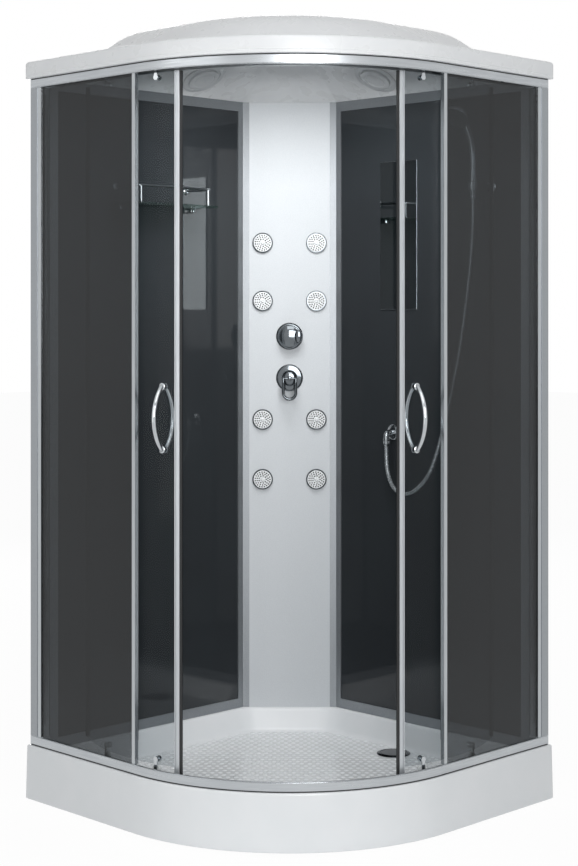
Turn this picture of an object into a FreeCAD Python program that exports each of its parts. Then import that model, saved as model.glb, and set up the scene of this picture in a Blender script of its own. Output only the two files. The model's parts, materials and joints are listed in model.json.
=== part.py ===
import FreeCAD, Part
import Sketcher
import math
import os
import re

# Quadrant shower cabin. +Z is up and the origin is the middle of the footprint on the floor.
# The two walls meet at the corner (-X, +Y); the curved front bulges towards (+X, -Y).
# Lengths are millimetres and angles degrees.
# A place inside the cabin is also told by u and d: u runs along the corner column from left to
# right, d runs square to it, out of the corner towards the doors.

SIZES = {
    # plan
    "plan_side": 1000,          # side of the tray at its rim
    "corner_radius": 550,       # radius of the curved front at the tray's rim
    "frame_inset": 8.5,         # tray edge to the face of the frame
    "rail_depth": 40,
    "wall_depth": 40,           # tray edge to the inner face of a back wall
    # heights
    "skirt_gap": 4,
    "rim_top": 147,
    "ledge_drop": 16,           # tray's rim to the ledge inside it
    "basin_floor": 65,
    "tray_sheet": 6,
    "skirt_flare": 2.5,
    "back_cut": 30,             # leg of the cut corner where the two walls meet
    "basin_rim": 12,            # level strip between a back wall and the basin
    "basin_slope": 22,          # how far the basin's side leans in, by the walls
    "basin_front": 14,
    "basin_front_slope": 26,
    "rail_height": 25,
    "clear_height": 1736,       # between the two rails
    # rail section, each measured inwards from the face of the frame
    "rail_sheet": 3,
    "rail_lip": 4,
    "divider_in": 11,           # far side of the groove that holds the fixed glass
    "divider_sheet": 2.5,
    "inner_lip": 2.5,
    "ledge_width": 11,          # ledge that the top rollers run on
    "track_rise": 3.2,          # raised floor that the bottom rollers run on
    "divider_height": 14,
    "inner_lip_height": 8,
    # roof
    "roof_overhang": 3.5,
    "fascia_height": 46,
    "dome_rise": 91,            # top of the fascia to the top of the dome
    "dome_cut": 60,
    "vault_start": 240,         # the hollow under the dome: its insets at the foot and at the top
    "vault_end": 335,
    "vault_sheet": 6,
    "ceiling_rise": 107,        # wall top up to the flat of the ceiling
    "ceiling_run": 190,         # how far that slope reaches in from the wall
    "disc_radius": 44,
    "disc_ring": 63,
    "disc_run": 75,             # wall to the middle of a disc, level
    "disc_along": 37,
    "disc_sheet": 3,
    "disc_height": 8,
    # fixed glass and its profiles
    "glass_sheet": 6,
    "fixed_glass_in": 4.5,      # face of the frame to the outer face of the fixed glass
    "glass_seat": 8,            # glass hidden in a profile
    "post_face": 28.5,
    "glass_post_face": 15,
    "glass_post_depth": 26,
    "edge_profile_face": 12,
    "edge_profile_depth": 11,
    "edge_past_corner": 10,     # end of the fixed pane to where the front starts to curve
    "profile_lap": 3,           # how far a profile stands out in front of the fixed glass
    "edge_lap": 2,
    "seal_face": 6,
    "seal_end": 60,
    "seal_sheet": 1.8,
    # back walls and corner column
    "frame_face": 28,
    "wall_glass_sheet": 5,
    "wall_glass_recess": 3,
    "column_half": 139,         # half the width of the corner column with its profiles
    "column_profile": 19,
    "column_sheet": 4,
    "column_fold": 14,
    "corner_lap": 10,           # how much wider the wall frame is at the column than elsewhere
    "corner_web": 9.6,
    # sliding doors
    "door_in": 29.5,            # face of the frame to the inner face of the curved glass
    "door_sweep": 48,
    "door_gap": 0.6,            # between the two closed doors
    "door_gap_low": 1.5,        # bottom rollers to the door glass above them
    "door_gap_high": 2,
    "lead_face": 14,
    "lead_depth": 14,
    "lead_gap": 2,              # bottom rail's inner lip to the leading profile
    "magnet_face": 5,
    "magnet_depth": 6,
    "trail_seal_face": 4,
    "roller_lead": 8.5,         # angle from the leading edge to the first pair of rollers
    "roller_spread": 22,        # angle between the two pairs
    "open_at": 4.9,             # first rollers, open: angle past where the front starts to curve
    "open_sink": 3,             # second rollers, open: how far inside the track line they stand
    "roller_width": 7,
    "roller_inset": 1.5,        # door glass inner face to the inner face of a roller
    "bottom_roller": 12,
    "top_roller": 9,
    "roller_bore": 3,
    "running_gap": 0.3,
    "bracket_sheet": 2.2,
    "bracket_width": 9,
    "clamp_radius": 7,
    "clamp_height": 8,
    "leg_past_axle": 5,
    "bolt_radius": 4,
    "clamp_from_edge": 12,
    "handle_low": 965,
    "handle_high": 1122,
    "handle_bow": 32,
    "handle_rod": 5,
    "handle_boss": 9,
    "handle_boss_height": 5,
    "handle_lead": 6.2,
    # jets, eight of them in two columns
    "jet_side": 80,
    "jet_radius": 30.5,
    "jet_ring": 2.5,
    "jet_plate": 2,
    "jet_rim": 7,
    "jet_face": 26.6,
    "jet_pivot": 8,
    "jet_ball": 8.2,
    "jet_port": 6,
    "jet_tail": 10,
    "jet_tail_length": 30,
    "jet_face_sheet": 4.5,
    "nozzle_low": 6,
    "nozzle_high": 4,
    "nozzle_height": 3.5,
    "lock_nut_over": 7,
    "lock_nut_height": 6,
    "row_one": 810,
    "row_two": 988,
    "row_three": 1341,
    "row_four": 1514,
    # valves
    "mixer_height": 1112,
    "diverter_height": 1236,
    "valve_plate": 40,
    "valve_plate_sheet": 4,
    "valve_neck": 16,
    "valve_neck_length": 24,    # behind the column's sheet
    "knob_radius": 34,
    "knob_height": 24,
    "knob_crown": 6,
    "knob_bevel": 8,
    "pointer_half": 13,
    "pointer_reach": 4,
    "pointer_lift": 8,
    "mixer_dome": 24,
    "mixer_dome_height": 30,
    "dome_crown": 5,
    "lever_stand": 46,          # plate to the axis that the lever lifts on
    "lever_half": 18.5,
    "lever_rod": 4.5,
    "lever_drop": 43,
    "pin_radius": 3,
    "pin_play": 0.05,
    "lug_half": 5,
    "lug_side": 7,
    "lug_over": 6,
    # pipes behind the column
    "pipe_radius": 8,
    "pipe_depth": 42,
    "riser_end": 20,
    "stub_radius": 7,
    "chest_over": 7,            # how much wider a valve's chest is than its neck
    "chest_length": 24,
    "feed_bar": 12,
    "feed_bar_end": 11,
    "feed_side": 30,            # hot and cold feeds, each side of the mixer
    "feed_low": 480,
    "tail_radius": 10.5,        # threaded tail at the foot of each feed
    "tail_length": 20,
    "side_pipe": 5,
    "side_pipe_depth": 38,      # inner face of the wall to the middle of the side pipe
    "side_pipe_past": 36.6,     # end of the wall's glass to where the side pipe turns
    # hand shower on the right-hand wall
    "outlet_x": -39,
    "outlet_height": 961,
    "outlet_rose": 22,
    "outlet_rose_height": 6,
    "outlet_reach": 30,
    "outlet_drop": 22,
    "outlet_knee": 10,
    "holder_x": 320,
    "holder_height": 1650,
    "holder_stand": 74,
    "holder_arm": 7.5,
    "holder_rose": 18,
    "holder_rose_height": 7,
    "cup_radius": 15,
    "cup_height": 24,
    "cup_play": 0.3,
    "grip_low": 24,             # the tapered grip reaches as far below the holder as above it
    "grip_small": 9.2,
    "grip_large": 12,
    "handle_straight": 70,      # holder to where the handle starts to bend
    "handle_thin": 9.5,
    "handle_bend": 160,
    "handle_sweep": 46,
    "head_along": 49.7,         # angle round the bend at which the head's middle lies
    "head_aim": 132,            # angle between straight up and the way that the spray points
    "head_radius": 34,
    "head_small": 12.5,
    "head_back": 6,
    "head_dish": 18,
    "head_sheet": 9,
    "hose_radius": 5.5,
    "nut_radius": 8.5,
    "nut_length": 16,
    # shelf on the left-hand wall, mirror on the right-hand wall
    "shelf_height": 1605,
    "shelf_depth": 110,
    "shelf_start": -245,
    "shelf_length": 310,
    "shelf_sheet": 6,
    "rail_post_height": 46,
    "rail_post_radius": 4,
    "rail_post_inset": 24,
    "rail_from_edge": 9,
    "rail_rose": 11,
    "rail_rose_height": 4,
    "shelf_clamp": 30,
    "shelf_clamp_half": 8,
    "shelf_clamp_height": 12,
    "mirror_left": -87,
    "mirror_width": 141,
    "mirror_low": 1315,
    "mirror_height": 428,
    "mirror_sheet": 4,
    # drain and support under the tray
    "drain_x": 48,
    "drain_y": 366,
    "drain_cover": 47.5,
    "drain_cover_sheet": 4,
    "drain_throat": 39,
    "drain_cup_depth": 44,
    "drain_sheet": 3,
    "drain_flange": 10,
    "drain_play": 1,
    "cover_spigot": 11,
    "drain_pipe": 16,
    "drain_pipe_height": 39,
    "drain_pipe_sheet": 2.5,
    "drain_pipe_end": 14.5,     # plan's edge to the end of the waste pipe
    "bearer": 30,
    "foot_reach": 400,
    "foot_pad": 26,
    "foot_pad_height": 8,
    "foot_rod": 6,
    "foot_nut": 11,
    "foot_nut_height": 6,
    "bearer_gap": 12,
}
# Sizes that follow from those above.
DERIVED = {
    "ledge_top": "rim_top - ledge_drop",
    "bottom_rail_top": "rim_top + rail_height",
    "top_rail_bottom": "bottom_rail_top + clear_height",
    "roof_bottom": "top_rail_bottom + rail_height",
    "dome_top": "roof_bottom + fascia_height + dome_rise",
    "door_radius": "corner_radius - frame_inset - door_in",
    "door_glass_bottom": "rim_top + rail_sheet + track_rise + running_gap + 2 * bottom_roller + door_gap_low",
    "door_glass_top": "top_rail_bottom - door_gap_high",
}

Z = FreeCAD.Vector(0, 0, 1)
ALONG_COLUMN = FreeCAD.Vector(1, 1, 0)
# The dome's outlines: inset from the tray's edge, and share of the dome's height.
DOME_STEPS = ((112, 0), (150, 0.445), (174, 0.71), (198, 0.84), (235, 0.912), (340, 1))
# Points of the hose between its two straight ends, from the outlet down, round and up. The middle
# number is measured from the glass of the right-hand wall.
HOSE_POINTS = (
    (-39, -30, 884), (-28, -36, 842), (0, -47, 808), (36, -57, 793), (72, -63, 794), (107, -67, 809),
    (149, -69, 845), (177, -71, 893), (200.5, -72, 956), (226, -73, 1035), (248, -74, 1110),
    (266.5, -75, 1185), (282.5, -76, 1260), (296, -77, 1335), (307, -77, 1410), (315, -77, 1480),
    (320, -77, 1548),
)

doc = FreeCAD.newDocument("shower_cabin")
sheet = doc.addObject("Spreadsheet::Sheet", "Dims")
SIZES.update({name: "=" + text for name, text in DERIVED.items()})
for row, (name, content) in enumerate(SIZES.items(), start=1):
    sheet.set(f"A{row}", name)
    sheet.set(f"B{row}", str(content))
    sheet.setAlias(f"B{row}", name)
probe = doc.addObject("Part::Box", "probe")
doc.recompute()

parts = {}


def size(name):
    return float(getattr(sheet, name))


def formula(text):
    """Turn size names in a formula into references to the sheet."""
    return re.sub(r"[a-z_]+", lambda m: "Dims." + m.group() if m.group() in SIZES else m.group(), str(text))


def value(text):
    """Work a formula out with the sheet's values, for geometry that is placed in code."""
    probe.setExpression("Placement.Base.x", formula(text))
    probe.recompute()
    return probe.Placement.Base.x


def bind(item, **sizes):
    for name, text in sizes.items():
        item.setExpression(name, formula(text))
    return item


def place(item, x=0, y=0, z=0):
    for axis, text in zip("xyz", (x, y, z)):
        item.setExpression(f"Placement.Base.{axis}", formula(text))
    return item


def put(item, placement):
    """Place an item in code, instead of by formulas."""
    for axis in "xyz":
        item.setExpression(f"Placement.Base.{axis}", None)
    item.Placement = placement
    return item


def upright(base):
    return FreeCAD.Placement(base, FreeCAD.Rotation())


def keep(node, item):
    item.Label = node
    parts[node] = item


# ---- plain solids ---------------------------------------------------------------------------

def box(name, low, high):
    """A box between two corners, each given by three formulas."""
    item = doc.addObject("Part::Box", name)
    for side, a, b in zip(("Length", "Width", "Height"), low, high):
        item.setExpression(side, formula(f"({b}) - ({a})"))
    return place(item, *low)


def rod(name, radius, length, x=0, y=0, z=0, angle=360):
    """An upright cylinder that stands on the point given."""
    item = doc.addObject("Part::Cylinder", name)
    bind(item, Radius=radius, Height=length, Angle=angle)
    return place(item, x, y, z)


def turn(item, axis, angle):
    """Turn an item about its own base point."""
    item.Placement.Rotation = FreeCAD.Rotation(FreeCAD.Vector(*axis), angle)
    return item


def rod_x(name, radius, length, x, y, z):
    """A cylinder that lies along +X from the point given."""
    return turn(rod(name, radius, length, x, y, z), (0, 1, 0), 90)


def rod_y(name, radius, length, x, y, z):
    """A cylinder that lies along -Y from the point given."""
    return turn(rod(name, radius, length, x, y, z), (1, 0, 0), 90)


def cone(name, low, high, length, x=0, y=0, z=0):
    item = doc.addObject("Part::Cone", name)
    bind(item, Radius1=low, Radius2=high, Height=length)
    return place(item, x, y, z)


def ball(name, radius, x=0, y=0, z=0):
    return place(bind(doc.addObject("Part::Sphere", name), Radius=radius), x, y, z)


def bend(name, radius, thickness, sweep, x=0, y=0, z=0):
    """A bent rod: part of a ring round the point given, from its local X axis on."""
    item = doc.addObject("Part::Torus", name)
    bind(item, Radius1=radius, Radius2=thickness, Angle3=sweep)
    return place(item, x, y, z)


def hexagon(name, radius, length, x=0, y=0, z=0):
    item = doc.addObject("Part::Prism", name)
    item.Polygon = 6
    bind(item, Circumradius=radius, Height=length)
    return place(item, x, y, z)


def cut(name, base, tool):
    item = doc.addObject("Part::Cut", name)
    item.Base, item.Tool = base, tool
    return item


def fuse(name, *items):
    item = doc.addObject("Part::MultiFuse", name)
    item.Shapes = list(items)
    item.Refine = True
    return item


def group(name, *items):
    """Separate solids that make one node."""
    item = doc.addObject("Part::Compound", name)
    item.Links = list(items)
    return item


def mirrored(name, source):
    """The same piece on the other side of the cabin's plane of symmetry."""
    item = doc.addObject("Part::Mirroring", name)
    item.Source = source
    item.Normal = ALONG_COLUMN
    return item


def both_sides(node, item):
    """Keep a left-hand piece and its mirror image as two nodes."""
    keep("left_" + node, item)
    keep("right_" + node, mirrored("right_" + node, item))


def pair(node, item):
    """Keep a left-hand piece and its mirror image as one node."""
    keep(node, group(node, item, mirrored("right_" + node, item)))


def sector(name, inner, outer, bottom, top, start, sweep):
    """A ring sector round the origin: radii, heights, and angles measured from -Y towards +X."""
    pieces = []
    for label, radius, low, high in (("_out", outer, bottom, top),
                                     ("_in", inner, f"{bottom} - 1", f"{top} + 1")):
        item = rod(name + label, radius, f"({high}) - ({low})", z=low, angle=sweep)
        item.setExpression("Placement.Rotation.Angle", formula(f"({start}) - 90"))
        item.Placement.Rotation.Axis = Z
        pieces.append(item)
    return cut(name, *pieces)


# ---- outlines in plan -----------------------------------------------------------------------

def flat_sketch(body, name):
    sketch = body.newObject("Sketcher::SketchObject", name)
    plane = [feature for feature in body.Origin.OriginFeatures if feature.Role == "XY_Plane"][0]
    sketch.AttachmentSupport = (plane, "")
    sketch.MapMode = "FlatFace"
    return sketch


def constrain(sketch, rules, lengths):
    """Add plain rules, then named lengths that follow the sheet."""
    for rule in rules:
        sketch.addConstraint(Sketcher.Constraint(*rule))
    for kind, where, length, label, text in lengths:
        index = sketch.addConstraint(Sketcher.Constraint(kind, *where, length))
        sketch.renameConstraint(index, label)
        sketch.setExpression("Constraints." + label, formula(text))


def outline(body, name, height, front, wall, leg):
    """A closed outline: front faces set in by front, back faces by wall, back corner cut by leg."""
    half, radius = size("plan_side") / 2, size("corner_radius") - value(front)
    side, back, cut_off = half - value(front), half - value(wall), value(leg)
    middle = half - size("corner_radius")
    corners = [(-back, -side), (middle, -side), (side, -middle), (side, back),
               (cut_off - back, back), (-back, back - cut_off)]
    points = [FreeCAD.Vector(x, y, 0) for x, y in corners]
    sketch = flat_sketch(body, name)
    sketch.setExpression("AttachmentOffset.Base.z", formula(height))
    circle = Part.Circle(FreeCAD.Vector(middle, -middle, 0), Z, radius)
    for i, point in enumerate(points):
        if i == 1:
            edge = Part.ArcOfCircle(circle, math.radians(270), math.radians(360))
        else:
            edge = Part.LineSegment(point, points[(i + 1) % 6])
        sketch.addGeometry(edge, False)
    rules = [("Coincident", i, 2, (i + 1) % 6, 1) for i in range(6)]
    rules += [("Horizontal", 0), ("Vertical", 2), ("Horizontal", 3), ("Vertical", 5),
              ("Vertical", 1, 1, 1, 3), ("Horizontal", 1, 2, 1, 3)]
    constrain(sketch, rules, [
        ("Radius", (1,), radius, "arc", f"corner_radius - ({front})"),
        ("DistanceX", (-1, 1, 1, 3), middle, "centre_x", "plan_side / 2 - corner_radius"),
        ("DistanceY", (-1, 1, 1, 3), -middle, "centre_y", "corner_radius - plan_side / 2"),
        ("DistanceX", (-1, 1, 5, 1), -back, "wall_x", f"({wall}) - plan_side / 2"),
        ("DistanceY", (-1, 1, 3, 1), back, "wall_y", f"plan_side / 2 - ({wall})"),
        ("DistanceX", (4, 2, 4, 1), cut_off, "leg_x", leg),
        ("DistanceY", (4, 2, 4, 1), cut_off, "leg_y", leg),
    ])
    return sketch


def loft(body, name, sketches, cutting=False):
    item = body.newObject("PartDesign::SubtractiveLoft" if cutting else "PartDesign::AdditiveLoft", name)
    item.Profile = sketches[0]
    item.Sections = sketches[1:]
    item.Ruled = True
    return item


def column_leg(wall, chord):
    """Leg of the cut corner where the back walls are set in by wall and the column by chord."""
    return (f"2 * (plan_side / 2 - ({wall}))"
            f" + sqrt(2) * (column_half - sqrt(2) * (plan_side / 2 - wall_depth) + ({chord}))")


def quadrant(name, front, low, high):
    """A solid of the cabin's plan, its front set in by front, its back by the frame's inset."""
    near, far = f"plan_side / 2 - ({front})", "plan_side / 2 - frame_inset"
    middle = "(plan_side / 2 - corner_radius)"
    left = box(name + "_left", (f"-({far})", f"-({near})", low), (middle, far, high))
    right = box(name + "_right", (middle, f"-{middle}", low), (near, far, high))
    nose = rod(name + "_nose", f"corner_radius - ({front})", f"({high}) - ({low})",
               middle, f"-{middle}", low, angle=90)
    return fuse(name, left, right, turn(nose, (0, 0, 1), -90))


def band(name, outer, inner, low, high):
    """A strip that follows the straight and curved front, between two insets from the tray's edge."""
    return cut(name, quadrant(name + "_o", outer, low, high),
               quadrant(name + "_i", inner, f"({low}) - 1", f"({high}) + 1"))


FACE = "frame_inset"
BACK = "(frame_inset + rail_depth)"
DIVIDE = "(frame_inset + divider_in)"


def rail(node, low, high, plate, divider, lip, shelf):
    """One rail: face lip, glass groove, divider and inner lip on a flat plate."""
    strips = [
        band(node + "_plate", FACE, BACK, *plate),
        band(node + "_face", FACE, "(frame_inset + rail_lip)", low, high),
        band(node + "_divider", DIVIDE, f"({DIVIDE} + divider_sheet)", *divider),
        band(node + "_lip", f"({BACK} - inner_lip)", BACK, *lip),
        band(node + "_shelf", *shelf),
    ]
    keep(node, fuse(node, *strips))


# ---- placing on the column and on a door ------------------------------------------------------

COLUMN_D = "(column_half - sqrt(2) * (plan_side / 2 - wall_depth))"


def column_place(u, height, depth=0):
    """Local Z points out of the column into the room, local X along it, local Y up."""
    d = value(f"{COLUMN_D} + ({depth})")
    u = value(u)
    base = FreeCAD.Vector((u + d) / math.sqrt(2), (u - d) / math.sqrt(2), value(height))
    room = FreeCAD.Vector(1, -1, 0).normalize()
    along = FreeCAD.Vector(1, 1, 0).normalize()
    return FreeCAD.Placement(base, FreeCAD.Rotation(along, Z, room, "ZXY"))


def sliding_pole():
    """Where a door turns about, and how far, between its closed and its open place.

    A real door follows the curve and then the straight. One turn about this pole takes both
    pairs of rollers from the closed place, on the curve, to the open place, on the straight.
    """
    radius = size("door_radius") + size("glass_sheet") / 2
    middle = size("plan_side") / 2 - size("corner_radius")
    centre = FreeCAD.Vector(middle, -middle, 0)
    spread, lead = math.radians(size("roller_spread")), math.radians(size("roller_lead"))
    chord = 2 * radius * math.sin(spread / 2)
    start = math.radians(size("open_at"))
    first = centre + FreeCAD.Vector(math.sin(start), -math.cos(start), 0) * radius
    second_y = centre.y - radius + size("open_sink")
    second = FreeCAD.Vector(first.x - math.sqrt(chord ** 2 - (second_y - first.y) ** 2), second_y, 0)
    across = (second - first).normalize()
    inward = FreeCAD.Vector(across.y, -across.x, 0)
    inward = inward if inward.y > 0 else inward * -1
    opened = (first + second) * 0.5 + inward * radius * math.cos(spread / 2)
    reach = math.atan2(first.x - opened.x, opened.y - first.y) + lead
    swing = math.radians(45) - size("door_gap") / 2 / radius - reach
    shift = centre - opened
    pole = (opened + centre) * 0.5 + FreeCAD.Vector(-shift.y, shift.x, 0) * (0.5 / math.tan(swing / 2))
    return centre, pole, math.degrees(swing)


CENTRE, POLE, SWING = sliding_pole()
OPENING = FreeCAD.Placement(FreeCAD.Vector(), FreeCAD.Rotation(Z, -SWING), POLE)


def door_place(angle=0):
    """From a station round the arc's centre, at an angle from -Y, to its place on the open door."""
    return OPENING.multiply(FreeCAD.Placement(CENTRE, FreeCAD.Rotation(Z, angle)))


# ---- tray and what is under it --------------------------------------------------------------

WASTE_END = "(plan_side / 2 - drain_pipe_end)"


def make_tray():
    body = doc.addObject("PartDesign::Body", "tray_body")
    rim, foot = "(wall_depth + basin_rim)", "(wall_depth + basin_rim + basin_slope)"
    sheet_in, inner_cut = "tray_sheet - skirt_flare", "back_cut - tray_sheet"
    loft(body, "skirt", [
        outline(body, "skirt_low", "skirt_gap", "-skirt_flare", "-skirt_flare", "back_cut"),
        outline(body, "skirt_high", "rim_top", "0", "0", "back_cut"),
    ])
    loft(body, "ledge", [
        outline(body, "ledge_high", "rim_top + 1", BACK, "-tray_sheet", "back_cut - 10"),
        outline(body, "ledge_low", "ledge_top", BACK, "-tray_sheet", "back_cut - 10"),
    ], cutting=True)
    loft(body, "basin", [
        outline(body, "basin_high", "ledge_top + 0.5", f"{BACK} + basin_front", rim,
                column_leg(rim, "basin_rim")),
        outline(body, "basin_low", "basin_floor", f"{BACK} + basin_front + basin_front_slope", foot,
                column_leg(foot, "basin_rim + basin_slope")),
    ], cutting=True)
    loft(body, "underside", [
        outline(body, "under_low", "skirt_gap - 1", sheet_in, sheet_in, inner_cut),
        outline(body, "under_high", "basin_floor - tray_sheet", "tray_sheet", "tray_sheet", inner_cut),
    ], cutting=True)
    hole = rod("tray_drain_hole", "drain_throat + drain_sheet + running_gap", "tray_sheet + 2",
               "drain_x", "drain_y", "basin_floor - tray_sheet - 1")
    pipe = rod_y("tray_pipe_hole", "drain_pipe + drain_play", "3 * drain_pipe_end",
                 "drain_x", "plan_side / 2 + drain_pipe_end", "drain_pipe_height")
    keep("tray", cut("tray", body, group("tray_holes", hole, pipe)))


def make_support():
    low, high = "basin_floor - tray_sheet - bearer", "basin_floor - tray_sheet"
    near, far = "(-foot_reach - bearer)", "(foot_reach + bearer)"
    half = "bearer / 2"
    spans = {
        "back": (near, f"foot_reach - {half}", f"drain_x - drain_cover - bearer_gap", f"foot_reach + {half}"),
        "left": (f"-foot_reach - {half}", near, f"{half} - foot_reach", f"foot_reach + {half}"),
        "middle": (near, f"-{half}", far, half),
        "right": (f"foot_reach - {half}", "-bearer", f"foot_reach + {half}", far),
        "front": (near, f"-foot_reach - {half}", "bearer", f"{half} - foot_reach"),
        "cross": (f"-{half}", near, half, "drain_y - drain_cover - bearer"),
    }
    bars = [box("bearer_" + name, (x, y, low), (far_x, far_y, high)) for name, (x, y, far_x, far_y)
            in spans.items()]
    keep("tray_frame", fuse("tray_frame", *bars))
    spots = [("-foot_reach", "foot_reach"), ("-foot_reach", "-foot_reach"), ("foot_reach", "foot_reach"),
             ("-foot_reach", "0"), ("foot_reach", "0"), ("0", "-foot_reach"), ("0", "0")]
    feet = []
    for i, (x, y) in enumerate(spots):
        pad = rod(f"foot_pad_{i}", "foot_pad", "foot_pad_height", x, y)
        stem = rod(f"foot_stem_{i}", "foot_rod", f"{low} - foot_pad_height", x, y, "foot_pad_height")
        nut = hexagon(f"foot_nut_{i}", "foot_nut", "foot_nut_height", x, y, f"{low} - foot_nut_height")
        feet.append(fuse(f"foot_{i}", pad, stem, nut))
    keep("tray_feet", group("tray_feet", *feet))


def make_drain():
    x, y = "drain_x", "drain_y"
    bottom = "(basin_floor - drain_cup_depth)"
    wall = "(drain_throat + drain_sheet)"
    cup = rod("drain_cup", wall, "drain_cup_depth", x, y, bottom)
    flange = rod("drain_flange", f"{wall} + drain_flange", "drain_sheet", x, y,
                 "basin_floor - tray_sheet - drain_sheet")
    pipe = rod_y("drain_pipe_out", "drain_pipe", f"{WASTE_END} - drain_y", x, WASTE_END, "drain_pipe_height")
    bore = rod("drain_bore", "drain_throat", "drain_cup_depth", x, y, f"{bottom} + drain_sheet")
    pipe_bore = rod_y("drain_pipe_bore", "drain_pipe - drain_pipe_sheet", f"{WASTE_END} - drain_y + 1",
                      x, f"{WASTE_END} + 1", "drain_pipe_height")
    shell = fuse("drain_shell", cup, flange, pipe)
    keep("drain_trap", cut("drain_trap", shell, group("drain_bores", bore, pipe_bore)))
    low = "basin_floor - cover_spigot"
    disc = rod("cover_disc", "drain_cover", "drain_cover_sheet", x, y, "basin_floor + running_gap")
    spigot = rod("cover_spigot", "drain_throat - drain_play", "cover_spigot + 1", x, y, low)
    hollow = rod("cover_hollow", "drain_throat - drain_play - drain_sheet", "cover_spigot",
                 x, y, f"{low} - 1")
    keep("drain_cover", cut("drain_cover", fuse("cover_blank", disc, spigot), hollow))


# ---- frame: rails, posts, fixed glass ----------------------------------------------------------

def make_rails():
    plate_top = "rim_top + rail_sheet"
    rail("bottom_rail", "rim_top", "bottom_rail_top", ("rim_top", plate_top),
         ("rim_top", f"{plate_top} + divider_height"),
         ("rim_top", f"{plate_top} + inner_lip_height"),
         (f"({DIVIDE} + divider_sheet)", BACK, "rim_top", f"{plate_top} + track_rise"))
    rail("top_rail", "top_rail_bottom", "roof_bottom", ("roof_bottom - rail_sheet", "roof_bottom"),
         ("top_rail_bottom", "roof_bottom"), ("top_rail_bottom", "roof_bottom"),
         (f"({BACK} - ledge_width)", BACK, "top_rail_bottom", "top_rail_bottom + rail_sheet"))


def make_fixed_side():
    face = "(plan_side / 2 - frame_inset)"
    inner = "(plan_side / 2 - frame_inset - rail_depth)"
    low, high = "bottom_rail_top", "top_rail_bottom"
    post_end = f"(post_face - {face})"
    post = box("left_wall_post", (f"-{face}", f"-{face}", low), (post_end, f"-{inner}", high))
    glass_post_end = f"({post_end} + glass_post_face)"
    glass_y = f"(fixed_glass_in - {face})"
    front = f"({glass_y} - profile_lap)"
    glass_post = box("glass_post_bar", (post_end, front, low),
                     (glass_post_end, f"{front} + glass_post_depth", high))
    end = "(plan_side / 2 - corner_radius - edge_past_corner)"
    edge_start = f"({end} - edge_profile_face)"
    pane = box("left_fixed_glass",
               (f"{glass_post_end} - glass_seat", glass_y, "rim_top + rail_sheet + 1"),
               (f"{edge_start} + glass_seat", f"{glass_y} + glass_sheet", "roof_bottom - rail_sheet - 1"))
    edge_back = f"({glass_y} - edge_lap + edge_profile_depth)"
    edge = box("edge_profile_bar", (edge_start, f"{glass_y} - edge_lap", low), (end, edge_back, high))
    seal = box("left_edge_seal", (f"{end} - 1 - seal_face", edge_back, f"{low} + seal_end"),
               (f"{end} - 1", f"{edge_back} + seal_sheet", f"{high} - seal_end"))
    both_sides("fixed_glass", pane)
    pair("wall_posts", post)
    pair("glass_posts", cut("left_glass_post", glass_post, pane))
    pair("fixed_edge_profiles", cut("left_edge_profile", edge, pane))
    pair("fixed_edge_seals", seal)


# ---- back walls and corner column -----------------------------------------------------------

WALL_IN = "(plan_side / 2 - wall_depth)"
WALL_OUT = "(plan_side / 2 - frame_inset)"
WALL_START = "(frame_inset + rail_depth - plan_side / 2)"
WALL_END = f"({WALL_IN} - sqrt(2) * column_half)"
GLASS_FACE = f"({WALL_IN} + wall_glass_recess)"


def make_walls():
    low, high = "ledge_top", "roof_bottom"
    corner_start = f"({WALL_END} - frame_face + corner_lap)"
    bite = "(frame_face - glass_seat)"
    pane = box("left_wall_glass",
               (f"-{GLASS_FACE} - wall_glass_sheet", f"{WALL_START} + {bite}", f"{low} + {bite}"),
               (f"-{GLASS_FACE}", f"{corner_start} + glass_seat", f"{high} - {bite}"))
    members = {
        "bottom": (WALL_START, low, corner_start, f"{low} + frame_face"),
        "top": (WALL_START, f"{high} - frame_face", corner_start, high),
        "front": (WALL_START, f"{low} + frame_face", f"{WALL_START} + frame_face", f"{high} - frame_face"),
    }
    bars = []
    for name, (y, z, far_y, far_z) in members.items():
        blank = box("frame_blank_" + name, (f"-{WALL_OUT}", y, z), (f"-{WALL_IN}", far_y, far_z))
        bars.append(cut("frame_" + name, blank, pane))
    bar = box("corner_bar", (f"-{WALL_OUT}", corner_start, low), (f"-{WALL_IN}", WALL_END, high))
    fold_x, fold_y = f"({COLUMN_D} - column_half) / sqrt(2)", f"-({COLUMN_D} + column_half) / sqrt(2)"
    fold = box("corner_fold", (fold_x, fold_y, low),
               (f"{fold_x} + column_profile", f"{fold_y} + column_fold", high))
    web = box("corner_web", (f"-{WALL_OUT}", f"{WALL_END} - 1", low),
              (f"-{WALL_IN} - corner_web", f"{WALL_END} + corner_web", high))
    corner = fuse("corner_blank", bar, turn(fold, (0, 0, 1), 45), web)
    bars.append(cut("frame_corner", corner, pane))
    pair("wall_frames", group("left_wall_frame", *bars))
    keep("left_wall_glass", pane)
    outlet = rod_y("outlet_hole", "pipe_radius + 1", "wall_depth", "outlet_x", f"{WALL_IN} + wall_depth",
                   "outlet_height")
    keep("right_wall_glass", cut("right_wall_glass", mirrored("right_wall_blank", pane), outlet))


def column_hole(name, radius, u, height):
    item = rod(name, radius, "3 * column_sheet")
    return put(item, column_place(u, height, "-2 * column_sheet"))


JET_ROWS = ("row_one", "row_two", "row_three", "row_four")
JET_SPOTS = [(sign + "jet_side", row) for sign in ("-", "") for row in JET_ROWS]
VALVES = ("mixer_height", "diverter_height")


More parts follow.
